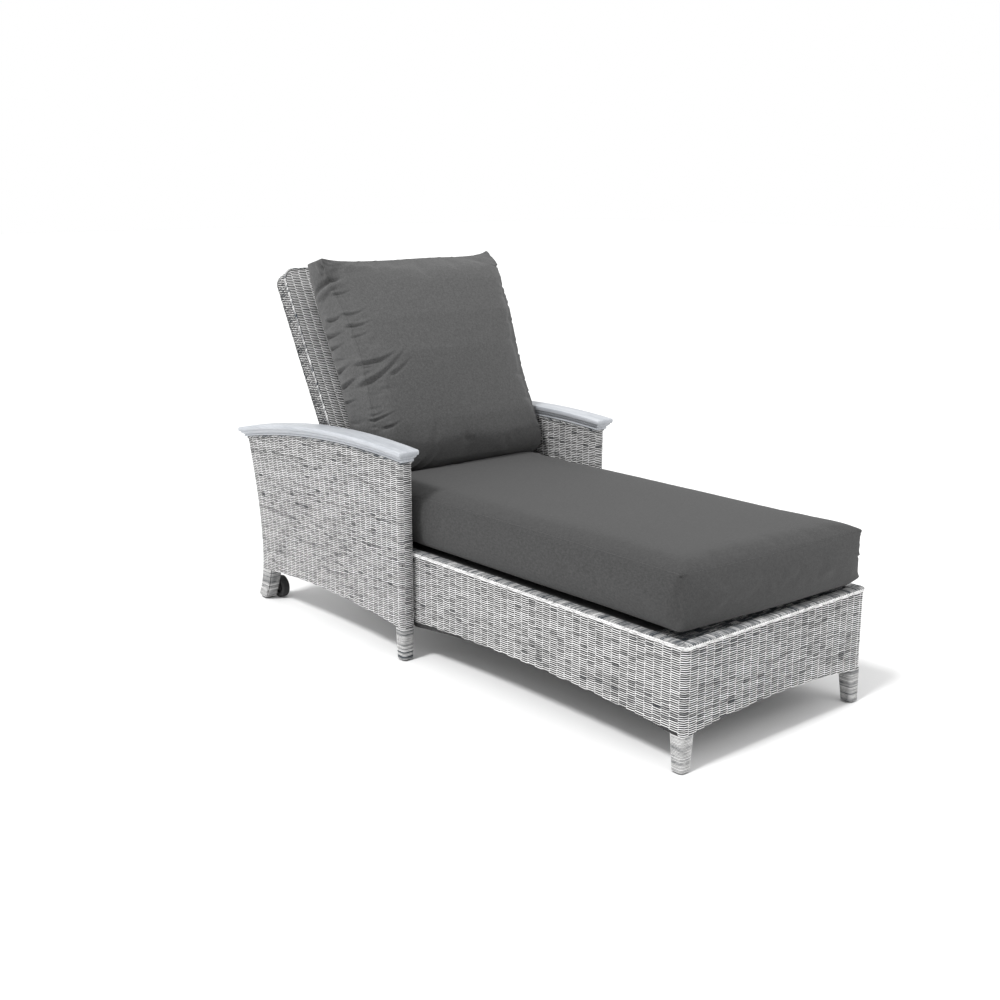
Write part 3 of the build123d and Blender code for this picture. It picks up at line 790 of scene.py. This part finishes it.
def corner_limit(s):
    """Half the frame's width at a height: less where the top corners are rounded."""
    into_corner = np.clip(s - (back_end - top_radius), 0, top_radius)
    return back_half - top_radius + np.sqrt(top_radius**2 - into_corner**2)


def panel_placer(facing):
    def place(u, v, h):
        limit = corner_limit(v)
        return back_world(np.clip(u - back_half, -limit, limit), v, facing * (back_face + h))

    return place


def on_panel(u, v):
    return np.abs(u - back_half) < corner_limit(v) + 0.006


# Painted light: the front strands are given a lighter shade than the rear ones, making up for the
# cushion's shade over them.
for name, facing, shade in (("back_rear_strands", -1, 0.62), ("back_front_strands", 1, 0.92)):
    weave(
        name, "backrest", 2 * back_half, lambda u: back_start, lambda u: back_end - 0.001,
        panel_placer(facing), span=(back_start, back_end - 0.001), keep=on_panel, shade=shade,
    )

border_path = Path(
    [(back_half, back_start), (back_half, back_end), (-back_half, back_end), (-back_half, back_start)],
    [0, top_radius, top_radius, 0],
)


def edge_place(u, v, h):
    x, s, out_x, out_s = border_path.at(v)
    return back_world(x + out_x * h, s + out_s * h, u - back_face)


# Painted shade: the frame's edge strands are given a darker shade than plain, to tone down the edge that
# faces the key light.
weave(
    "back_edge_strands", "backrest", 2 * back_face, lambda u: 0.0, lambda u: border_path.length,
    edge_place, span=(0.0, border_path.length),
    stake_pitch=EDGE_STAKE_PITCH, row_pitch=EDGE_ROW_PITCH, shade=0.46, cover=0.70,
)


def border_cord(name, facing):
    """Short slanted strands, end to end, along the corner between a face of the frame and its edge."""
    places = np.arange(BORDER_PITCH / 2, border_path.length - BORDER_PITCH / 2, BORDER_PITCH)
    step = np.array([-1.0, -0.4, 0.4, 1.0])
    x, s, out_x, out_s = border_path.at(places[:, None] + step * 0.48 * BORDER_PITCH)
    outward = back_world(out_x, out_s, facing + 0 * x, direction=True) / math.sqrt(2)
    aside = back_world(out_x, out_s, -facing + 0 * x, direction=True) / math.sqrt(2)
    centre = back_world(x, s, facing * back_face + 0 * x) + outward * BORDER_SINK
    centre = centre + aside * (BORDER_SLANT * step)[None, :, None]
    wrap(name, "backrest", centre, aside * BORDER_WIDTH / 2, outward * BORDER_HEIGHT, shade=0.26)


border_cord("back_front_border", 1)
border_cord("back_rear_border", -1)


# ---- arm caps ----
cap_low, cap_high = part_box("left_arm_cap")
cap_top_points = facing_points("left_arm_cap", UP)
cap_top_points = cap_top_points[cap_top_points[:, 2] > cap_line(cap_top_points[:, 1]) + 0.030]
cap_top = arc_through(cap_top_points)
CAP_NECK_OUT, CAP_NECK_IN, CAP_NECK_FRONT, CAP_NECK_REAR = 0.0175, 0.0105, 0.014, 0.016
# Each level of the moulding: the depth below the top, and the way in from the slab's edge to the neck's.
CAP_PROFILE = (
    (0.0000, 0.30), (0.0003, 0.16), (0.0012, 0.07), (0.0030, 0.015), (0.0055, 0.0), (0.0085, 0.0),
    (0.0110, 0.03), (0.0128, 0.10), (0.0136, 0.20), (0.0138, 0.34), (0.0158, 0.36), (0.0164, 0.34),
    (0.0185, 0.42), (0.0205, 0.54), (0.0225, 0.69), (0.0245, 0.80), (0.0252, 0.92), (0.0262, 0.84),
    (0.0280, 0.78), (0.0300, 0.80), (0.0314, 0.90), (0.0318, 1.00),
)


def cap_outline(share):
    """The moulding's plan outline at a level: from the middle of its rear end round to the same place."""
    x0 = cap_low.x + CAP_NECK_OUT * share
    x1 = cap_high.x - CAP_NECK_IN * share
    y0 = cap_low.y + CAP_NECK_FRONT * share
    y1 = cap_high.y - CAP_NECK_REAR * share
    radius = 0.004
    middle = (x0 + x1) / 2
    bend = np.linspace(0, math.pi / 2, 5)[1:-1]
    half = [(middle, y1), (x0 + radius, y1)]
    half += [(x0 + radius - radius * math.sin(t), y1 - radius + radius * math.cos(t)) for t in bend]
    half += [(x0, y) for y in np.linspace(y1 - radius, y0 + radius, 60)]
    half += [(x0 + radius - radius * math.cos(t), y0 + radius - radius * math.sin(t)) for t in bend]
    half += [(x0 + radius, y0), (middle, y0)]
    mirrored = [(x0 + x1 - x, y) for x, y in reversed(half[1:-1])]
    return half + mirrored


def arm_cap(side_name, sign):
    verts, faces = [], []
    for depth, share in CAP_PROFILE:
        for x, y in cap_outline(share):
            verts.append((sign * x, y, cap_top(y) - depth))
    count = len(cap_outline(0))
    for level in range(len(CAP_PROFILE) - 1):
        for i in range(count):
            j = (i + 1) % count
            a, b = level * count + i, level * count + j
            faces.append((a, b, b + count, a + count))
    last = (len(CAP_PROFILE) - 1) * count
    for i in range(count // 2):
        top = (i, (count - i) % count, (count - i - 1) % count, i + 1)
        bottom = (top[0], top[3], top[2], top[1])
        for start, strip in ((0, top), (last, bottom)):
            faces.append(tuple(start + point for point in dict.fromkeys(strip)))
    if sign < 0:
        faces = [face[::-1] for face in faces]
    cap = new_piece(side_name + "_arm_cap_moulding", verts, faces, "base", "limed_cap", limed)
    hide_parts(side_name + "_arm_cap")


for side_name, sign in SIDES:
    arm_cap(side_name, sign)


# ---- cushions ----
SEAT_CELLS = (0.0100, 0.0100, 0.0100)
BACK_CELLS = (0.0095, 0.0046, 0.0090)


def cushion_grid(size, cells):
    """A closed box of quads with coordinates from -1 to 1, cut into cells of about the sizes given."""
    edges = [np.linspace(-1, 1, round(length / cell) + 1) for length, cell in zip(size, cells)]
    counts = [len(e) - 1 for e in edges]
    index, faces = {}, []
    for axis in range(3):
        u, v = (axis + 1) % 3, (axis + 2) % 3
        for step, turned in ((0, True), (counts[axis], False)):
            for i in range(counts[u]):
                for j in range(counts[v]):
                    face = []
                    for du, dv in ((0, 0), (1, 0), (1, 1), (0, 1)):
                        place = [0, 0, 0]
                        place[axis], place[u], place[v] = step, i + du, j + dv
                        face.append(index.setdefault(tuple(place), len(index)))
                    faces.append(face[::-1] if turned else face)
    return np.array([[edges[axis][step] for axis, step in enumerate(place)] for place in index]), faces


def waves(points, count, size, seed):
    """A sum of a few broad waves over points, from -1 to 1, the same on each run."""
    draws = np.random.default_rng(seed)
    total = np.zeros(len(points))
    for _ in range(count):
        direction = draws.normal(size=3)
        direction /= np.linalg.norm(direction)
        total += np.sin(points @ direction / size * draws.uniform(0.7, 1.5) + draws.uniform(0, 6.3))
    return total / count


def seam_loop(grid, level):
    """The points of a boxed cushion's upper or lower seam, in order round it."""
    on_rim = np.abs(grid[:, :2]).max(axis=1) > 0.9999
    index = np.nonzero(on_rim & np.isclose(grid[:, 2], level))[0]
    return index[np.argsort(np.arctan2(grid[index, 1], grid[index, 0]))]


CLOTH = {
    "quality": 6,
    "mass": 0.25,
    "tension_stiffness": 25,
    "compression_stiffness": 15,
    "shear_stiffness": 10,
    "bending_stiffness": 0.5,
    "air_damping": 4,
    "use_pressure": True,
}


def points_of(mesh):
    return np.array([v.co for v in mesh.vertices])


def inflate(piece, seams, pressure, frames, cap, gather):
    """Fills a sewn cover: cloth under pressure, its seams drawn a little shorter than its panels.

    The return is its points, each moved by cap at most.
    """
    start = points_of(piece.data)
    hold = piece.vertex_groups.new(name="seam")
    hold.add([int(i) for i in seams], 1.0, "REPLACE")
    cloth = piece.modifiers.new("fill", "CLOTH")
    for name, value in CLOTH.items():
        setattr(cloth.settings, name, value)
    cloth.settings.uniform_pressure_force = pressure
    cloth.settings.effector_weights.gravity = 0
    cloth.settings.vertex_group_shrink = hold.name
    cloth.settings.shrink_max = gather
    cloth.point_cache.frame_start = 1
    cloth.point_cache.frame_end = frames
    for frame_number in range(1, frames + 1):
        bpy.context.scene.frame_set(frame_number)
    graph = bpy.context.evaluated_depsgraph_get()
    moved = points_of(piece.evaluated_get(graph).to_mesh())
    piece.evaluated_get(graph).to_mesh_clear()
    piece.modifiers.remove(cloth)
    piece.vertex_groups.clear()
    bpy.context.scene.frame_set(1)
    shift = moved - start
    far = np.linalg.norm(shift, axis=1, keepdims=True)
    return start + shift * np.minimum(1, cap / np.maximum(far, 1e-9))


def set_points(mesh, points):
    mesh.vertices.foreach_set("co", points.astype(np.float32).ravel())
    mesh.update()


def crease_depth(along, across, lines):
    """Valleys in the cloth. A line is its start along and across a seam, heading, length, width, depth."""
    depth = np.zeros(len(along))
    for start_along, start_across, heading, length, width, fall in lines:
        du, dv = along - start_along, across - start_across
        forward = du * math.sin(heading) + dv * math.cos(heading)
        aside = du * math.cos(heading) - dv * math.sin(heading)
        aside = aside - 0.15 * forward**2 / length
        share = np.clip(forward / length, -0.25, 1.0)
        fade = np.clip((share + 0.25) / 0.25, 0, 1) * np.maximum(1 - share, 0) ** 1.2
        narrow = width * (1.0 - 0.35 * np.clip(share, 0, 1))
        valley = np.exp(-((aside / narrow) ** 2))
        ridge = np.exp(-(((aside - 2.0 * narrow) / (1.4 * narrow)) ** 2))
        depth += fall * fade * (0.6 * ridge - valley)
    return depth


def puckers(count, low, high, reach, lean, seed):
    """Short creases at uneven places along a seam, most of them starting on it."""
    draws = np.random.default_rng(seed)
    lines = []
    for place in np.linspace(low, high, count):
        inward = draws.random() < 0.6
        heading = lean + draws.normal(0, 0.22) + (0 if inward else math.pi)
        length = reach * draws.uniform(0.4, 1.6)
        width = draws.uniform(0.0026, 0.0042)
        fall = draws.uniform(0.0014, 0.0036)
        lines.append((place + draws.normal(0, 0.010), 0.0, heading, length, width, fall))
    return lines


def finish_cushion(piece, grid, node, relief):
    """One smoothing subdivision made real, then the relief; the CAD node that the piece stands for is
    hidden.
    """
    places = piece.data.attributes.new("place", "FLOAT_VECTOR", "POINT")
    places.data.foreach_set("vector", grid.astype(np.float32).ravel())
    finer = piece.modifiers.new("finer", "SUBSURF")
    finer.levels = finer.render_levels = 1
    graph = bpy.context.evaluated_depsgraph_get()
    mesh = bpy.data.meshes.new_from_object(piece.evaluated_get(graph))
    piece.modifiers.clear()
    piece.data = mesh
    mesh.polygons.foreach_set("use_smooth", [True] * len(mesh.polygons))
    fine = np.zeros(len(mesh.vertices) * 3, dtype=np.float32)
    mesh.attributes["place"].data.foreach_get("vector", fine)
    normals = np.array([v.normal for v in mesh.vertices])
    set_points(mesh, points_of(mesh) + normals * relief(fine.reshape(-1, 3))[:, None])
    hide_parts(node)


THREAD_SINK, THREAD_HALF_WIDTH, THREAD_HEIGHT = 0.0007, 0.0009, 0.0011


def sew(name, piece, loops, body):
    """A line of thread in each seam, following the cover's finished surface."""
    verts = piece.data.vertices
    for number, loop in enumerate(loops, start=1):
        line = np.array([verts[int(i)].co for i in loop])
        normal = np.array([verts[int(i)].normal for i in loop])
        ahead = np.roll(line, -1, axis=0) - np.roll(line, 1, axis=0)
        ahead /= np.linalg.norm(ahead, axis=1, keepdims=True)
        side = np.cross(ahead, normal)
        side /= np.linalg.norm(side, axis=1, keepdims=True)
        centre = line - normal * THREAD_SINK
        corners = swept_corners(centre[None], side[None] * THREAD_HALF_WIDTH, normal[None] * THREAD_HEIGHT)
        along = np.arange(len(line))[None] * 0.01
        tone = np.array([0.5])
        strand = strand_piece(f"{name}_{number}", corners, tone, along, body, thread, closed=True)


# The seat cushion: the height of its two seams, and the half width at them.
seat_low, seat_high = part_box("seat_cushion")
SEAT_SEAMS = (seat_low.z + 0.0150, seat_high.z - 0.0170)
SEAT_HALF = seat_high.x - 0.0030
SEAT_WAIST, SEAT_BULGE, SEAT_ROUND = 0.004, 0.0085, 0.010
SEAT_CROWN, SEAT_BELLY, FAR_CORNER = 0.0165, 0.0125, 0.007


def seat_shape(grid):
    a, b, c = grid.T
    side, end = np.abs(a) == 1, np.abs(b) == 1
    x = a * (SEAT_HALF - SEAT_WAIST * (1 - b**2) + SEAT_WAIST * np.abs(a * b) ** 12)
    front = seat_low.y + 0.006 - 0.011 * (1 - a**2) - 0.014 * a
    rear = seat_high.y - 0.006
    y = front * (1 - b) / 2 + rear * (1 + b) / 2
    far_corner = (np.clip(a, 0, 1) * np.clip(-b, 0, 1)) ** 6
    x = x + FAR_CORNER * far_corner
    y = y - FAR_CORNER * far_corner
    z = SEAT_SEAMS[0] * (1 - c) / 2 + SEAT_SEAMS[1] * (1 + c) / 2
    round_off = SEAT_ROUND * (1 - c**4) * (np.abs(a) * np.abs(b)) ** 60
    bulge = SEAT_BULGE * (1 - c**4) * (1 + 0.25 * c)
    x = x - np.sign(a) * round_off + np.sign(a) * side * bulge * (1 - b**12)
    y = y - np.sign(b) * round_off + np.sign(b) * end * bulge * (1 - a**12)
    crown = (1 - np.abs(a) ** 14) * (1 - np.abs(b) ** 30)
    z = z + np.where(c == 1, (SEAT_CROWN + 0.003 * (1 - a**2)) * crown, 0)
    z = z - np.where(c == -1, SEAT_BELLY * (1 - np.abs(a) ** 9) * (1 - np.abs(b) ** 18), 0)
    lifted = np.where(a > 0, 0.012, 0.002) * np.clip(np.abs(a) + np.abs(b) - 1.86, 0, 1) / 0.14
    z = z + np.where((c < 0) & (b < 0), lifted * (1 - c) / 2, 0)
    return np.stack([x, y, z], axis=1)


def seat_relief(place):
    """Low waves over the panels, and creases that run from the front corners."""
    a, b, c = place.T
    half, length = SEAT_HALF, seat_high.y - seat_low.y
    x, y, z = a * half, (b + 1) * length / 2, c * 0.07
    depth = 0.0009 * waves(np.stack([x, y, z], axis=1), 9, 0.045, 5)
    front = (b < -0.999) & (np.abs(c) < 0.999)
    for sign, seed in ((1, 41), (-1, 43)):
        from_corner = (1 - sign * a) * half
        lines = puckers(6, -0.030, 0.055, 0.045, 0.25, seed)
        strength = 0.9 if sign > 0 else 0.35
        depth += np.where(front, strength * crease_depth(z, from_corner, lines), 0)
    pinch = [(0.070, 0.0, -0.5, 0.028, 0.0035, 0.0045), (0.064, 0.0, -0.9, 0.022, 0.0030, 0.0030)]
    for sign in (1, -1):
        depth += np.where(front, crease_depth(z, (1 - sign * a) * half, pinch), 0)
        beside = (sign * a > 0.999) & (np.abs(c) < 0.999)
        depth += np.where(beside, 0.7 * crease_depth(z, y, pinch), 0)
    return depth


seat_size = (2 * SEAT_HALF, seat_high.y - seat_low.y, SEAT_SEAMS[1] - SEAT_SEAMS[0])
seat_grid, seat_faces = cushion_grid(seat_size, SEAT_CELLS)
seat_cover = (seat_shape(seat_grid), seat_faces, "base", "cushion_fabric", seat_fabric)
seat_piece = new_piece("seat_cushion_cover", *seat_cover)
seat_loops = [seam_loop(seat_grid, level) for level in (1, -1)]
seams = np.concatenate(seat_loops)
filled = inflate(seat_piece, seams, pressure=2.5, frames=16, cap=0.004, gather=0.004)
filled[:, 2] = np.clip(filled[:, 2], seat_low.z + 0.0006, seat_high.z + 0.006)
set_points(seat_piece.data, filled)
finish_cushion(seat_piece, seat_grid, "seat_cushion", relief=seat_relief)
sew("seat_seam", seat_piece, seat_loops, "base")
seat_crown = float(points_of(seat_piece.data)[:, 2].max())

# The back cushion, in the lying frame: x across, s up the back, n out from it.
BACK_HALF = 0.299
BACK_BOTTOM, BACK_TOP = 0.13, 0.760
BACK_DEPTH = 0.095
BACK_CROWN = 0.030
BACK_EAR = 0.013
BACK_SHIFT = 0.005
SHARES = (0.0, 0.05, 0.11, 0.25, 0.4, 0.55, 0.7, 0.85, 0.93, 1.0)
REAR_SEAM = (0.070, 0.074, 0.078, 0.088, 0.098, 0.106, 0.108, 0.104, 0.108, 0.120)
FRONT_LEFT = (0.088, 0.136, 0.163, 0.189, 0.208, 0.227, 0.219, 0.197, 0.188, 0.199)
FRONT_RIGHT = (0.112, 0.156, 0.180, 0.197, 0.209, 0.224, 0.240, 0.242, 0.233, 0.203)


def back_shape(grid):
    a, b, c = grid.T
    side, top = np.abs(a) == 1, b == 1
    up = (b + 1) / 2
    rear = np.interp(up, SHARES, REAR_SEAM)
    left, right = np.interp(up, SHARES, FRONT_LEFT), np.interp(up, SHARES, FRONT_RIGHT)
    front = left * (1 - a) / 2 + right * (1 + a) / 2
    n = rear * (1 - c) / 2 + front * (1 + c) / 2
    roll = 1 - np.abs(np.clip(b, -1, 0)) ** 5
    crown = (1 - np.abs(a) ** 2.6) * np.where(b < 0, roll, 1 - b**6)
    n = n + np.where(c == 1, BACK_CROWN * crown, 0)
    settle = (1 - np.abs(a) ** 4) * (1 - np.abs(b) ** 8)
    n = np.where(c == -1, np.maximum(n - 0.11 * settle, back_face + 0.0042), n)
    low = (seat_crown - 0.018 - HINGE.z - n * math.cos(BACK_ANGLE)) / math.sin(BACK_ANGLE)
    high = BACK_TOP + BACK_EAR * np.abs(a) ** 8 + 0.014 * np.clip(-a, 0, 1) ** 8 * (1 - c) / 2
    s = low * (1 - up) + high * up
    x = a * (BACK_HALF - 0.006 * (1 - b**2) + 0.006 * np.clip(b, 0, 1) ** 10)
    x = x + 0.013 * np.clip(a, 0, 1) * np.clip(-b, 0, 1) ** 2
    x = x + np.sign(a) * side * (0.011 + 0.006 * a) * (1 - c**2) * (1 - b**8) + BACK_SHIFT
    s = s + top * 0.010 * (1 - c**2) * (1 - a**4)
    return back_world(x, s, n)


# Creases in the back cushion: up the back, in from the seam, heading, length, width and depth.
DRAG_LINES = [
    (0.455, 0.000, 0.10, 0.125, 0.0048, 0.0066),
    (0.405, 0.004, 0.42, 0.170, 0.0058, 0.0080),
    (0.425, 0.085, 0.40, 0.080, 0.0046, 0.0044),
    (0.560, 0.000, 0.02, 0.075, 0.0038, 0.0056),
    (0.595, 0.002, 0.00, 0.065, 0.0036, 0.0054),
    (0.655, 0.000, 0.05, 0.055, 0.0036, 0.0048),
    (0.300, 0.000, 0.20, 0.075, 0.0040, 0.0050),
    (0.275, 0.030, 0.30, 0.060, 0.0040, 0.0040),
    (0.590, -0.060, -0.05, 0.055, 0.0046, 0.0072),
    (0.545, -0.085, -0.05, 0.070, 0.0050, 0.0085),
    (0.510, -0.085, 0.05, 0.060, 0.0040, 0.0070),
    (0.440, -0.085, 0.25, 0.065, 0.0042, 0.0072),
    (0.395, -0.080, 0.35, 0.075, 0.0044, 0.0080),
    (0.350, -0.085, 0.10, 0.055, 0.0038, 0.0060),
    (0.700, 0.005, 3.35, 0.130, 0.0085, 0.0150),
    (0.735, -0.012, 2.20, 0.045, 0.0050, 0.0080),
]


def back_relief(place):
    """Puckers along the side seams, long drag lines from the left seam, and folds above the seat."""
    a, b, c = place.T
    up = (b + 1) / 2
    s = BACK_BOTTOM + up * (BACK_TOP - BACK_BOTTOM)
    inward = (c - 1) / 2 * BACK_DEPTH
    depth = 0.0016 * waves(np.stack([a * BACK_HALF, s, c * 0.05], axis=1), 9, 0.040, 15)
    face = (c > -0.999) & (np.abs(b) < 0.999)
    fade = np.clip((1 - np.abs(b)) * 14, 0, 1)
    left = (1 + a) * BACK_HALF + inward
    right = (1 - a) * BACK_HALF + inward
    creases = crease_depth(s, left, DRAG_LINES + puckers(16, 0.22, 0.74, 0.030, 0.15, 61))
    creases += crease_depth(s, right, puckers(14, 0.20, 0.74, 0.034, 0.1, 67))
    depth += np.where(face, 1.25 * creases * fade, 0)
    folds = [(0.13, 0.13, 1.05, 0.20, 0.014, 0.0055), (0.12, 0.17, 1.15, 0.15, 0.012, 0.0035)]
    depth += np.where(c > 0.999, crease_depth(s, left, folds), 0)
    from_top = BACK_TOP - s + inward
    across_top = crease_depth(a * BACK_HALF, from_top, puckers(9, -0.24, 0.24, 0.022, 0.0, 71))
    depth += np.where((c > -0.999) & (np.abs(a) < 0.999), across_top * 0.6, 0)
    return depth


seat_surface = BVHTree.FromPolygons(
    [v.co.copy() for v in seat_piece.data.vertices], [tuple(p.vertices) for p in seat_piece.data.polygons]
)


SINK, SINK_HEIGHT = 0.014, 0.09
BACK_WIDEST = 0.321
WEAVE_GAP, SEAT_GAP = 0.0034, 0.0012


def settle(points):
    """Lets the lowest part of the back cushion sink by its own weight, most at the bottom."""
    sunk = points.copy()
    height = points[:, 2] - points[:, 2].min()
    sunk[:, 2] -= SINK * np.clip(1 - height / SINK_HEIGHT, 0, 1)
    return sunk


def keep_clear(points):
    """Keeps the back cushion off the back's weave and resting on the seat cushion's real surface."""
    s, n = lying(points[:, 1] - HINGE.y, points[:, 2] - HINGE.z)
    across = np.clip(points[:, 0], -BACK_WIDEST, BACK_WIDEST)
    clear = back_world(across, s, np.maximum(n, back_face + WEAVE_GAP))
    for i in np.nonzero(clear[:, 2] < seat_crown + 0.003)[0]:
        hit = seat_surface.ray_cast(Vector((clear[i, 0], clear[i, 1], 1.0)), DOWN)[0]
        floor = seat_crown - 0.020 if hit is None else hit.z + SEAT_GAP
        clear[i, 2] = max(clear[i, 2], floor)
    return clear


back_size = (2 * BACK_HALF, BACK_TOP - BACK_BOTTOM, BACK_DEPTH)
back_grid, back_faces = cushion_grid(back_size, BACK_CELLS)
back_cover = (back_shape(back_grid), back_faces, "backrest", "cushion_fabric", back_fabric)
back_piece = new_piece("back_cushion_cover", *back_cover)
back_loops = [seam_loop(back_grid, level) for level in (1, -1)]
seams = np.concatenate(back_loops)
filled = inflate(back_piece, seams, pressure=3.5, frames=18, cap=0.012, gather=0.018)
set_points(back_piece.data, keep_clear(settle(filled)))
finish_cushion(back_piece, back_grid, "back_cushion", relief=back_relief)
set_points(back_piece.data, keep_clear(points_of(back_piece.data)))
sew("back_seam", back_piece, back_loops, "backrest")


# ---- seat deck ----
deck_low, deck_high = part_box("seat_deck_weave")


def deck_place(u, v, h):
    return np.stack([deck_low.x + u, v, deck_high.z + h * 0.8], axis=-1)


# Painted shade: the deck's strands are given a very dark shade, standing for the shadow under the seat
# cushion's front.
DECK_SHOWN = 0.09
weave(
    "seat_deck_strands", "base", deck_high.x - deck_low.x, lambda u: deck_low.y + 0.001,
    lambda u: deck_high.y - 0.002, deck_place, span=(deck_low.y, deck_low.y + DECK_SHOWN), shade=0.14,
)


# ---- floor, light and camera ----
def make_floor(reach=30.0):
    f = Finish("studio_floor", 0.8, Specular_IOR_Level=0.1)
    mottle = f.noise(f.coordinates(), 3.0, 3.0)
    f.colour(f.ramp(mottle, (0.3, grey(0.86)), (0.7, grey(0.88))))
    mesh = bpy.data.meshes.new("studio_floor")
    corners = [(-reach, -reach, 0), (reach, -reach, 0), (reach, reach, 0), (-reach, reach, 0)]
    mesh.from_pydata(corners, [], [(0, 1, 2, 3)])
    mesh.materials.append(f.material)
    add_object("studio_floor", mesh)


def aim(thing, position, target):
    thing.location = position
    direction = Vector(target) - Vector(position)
    thing.rotation_euler = direction.to_track_quat("-Z", "Y").to_euler()


WORLD_LIGHT = 0.90
KEY_LIGHT, KEY_SPREAD, KEY_DIRECTION = 2.25, math.radians(11), Vector((-0.55, -0.02, 0.85))
FILL_LIGHT, FILL_SIZE, FILL_PLACE = 32, 2.5, (1.0, -4.4, 4.2)


def make_world():
    """White where the camera sees past the floor, and a soft even light on everything."""
    world = bpy.data.worlds.new("studio")
    bpy.context.scene.world = world
    world.use_nodes = True
    nodes, links = world.node_tree.nodes, world.node_tree.links
    lit, seen = nodes["Background"], nodes.new("ShaderNodeBackground")
    for shader, strength in ((lit, WORLD_LIGHT), (seen, 1.0)):
        shader.inputs["Color"].default_value = (1.0, 1.0, 1.0, 1.0)
        shader.inputs["Strength"].default_value = strength
    mix = nodes.new("ShaderNodeMixShader")
    links.new(nodes.new("ShaderNodeLightPath").outputs["Is Camera Ray"], mix.inputs[0])
    links.new(lit.outputs[0], mix.inputs[1])
    links.new(seen.outputs[0], mix.inputs[2])
    links.new(mix.outputs[0], nodes["World Output"].inputs[0])


def make_lights():
    key = bpy.data.lights.new("key", "SUN")
    key.energy, key.angle = KEY_LIGHT, KEY_SPREAD
    aim(add_object("key", key), KEY_DIRECTION * 5, (0, 0, 0))
    fill = bpy.data.lights.new("fill", "AREA")
    fill.shape = "DISK"
    fill.energy, fill.size = FILL_LIGHT, FILL_SIZE
    aim(add_object("fill", fill), FILL_PLACE, (0, 0, 0.4))


def make_camera():
    azimuth, elevation, distance = math.radians(-40.487), math.radians(13.696), 3.51
    target = Vector((-0.0777, 0.0141, 0.4077))
    level = math.cos(elevation)
    back = Vector((math.sin(azimuth) * level, -math.cos(azimuth) * level, math.sin(elevation)))
    lens = bpy.data.cameras.new("camera")
    lens.lens = 46.82
    lens.sensor_width = 36.0
    camera = add_object("camera", lens)
    aim(camera, target + back * distance, target)
    bpy.context.scene.camera = camera


make_floor()
make_world()
make_lights()
make_camera()
bpy.context.scene.view_settings.view_transform = "Standard"
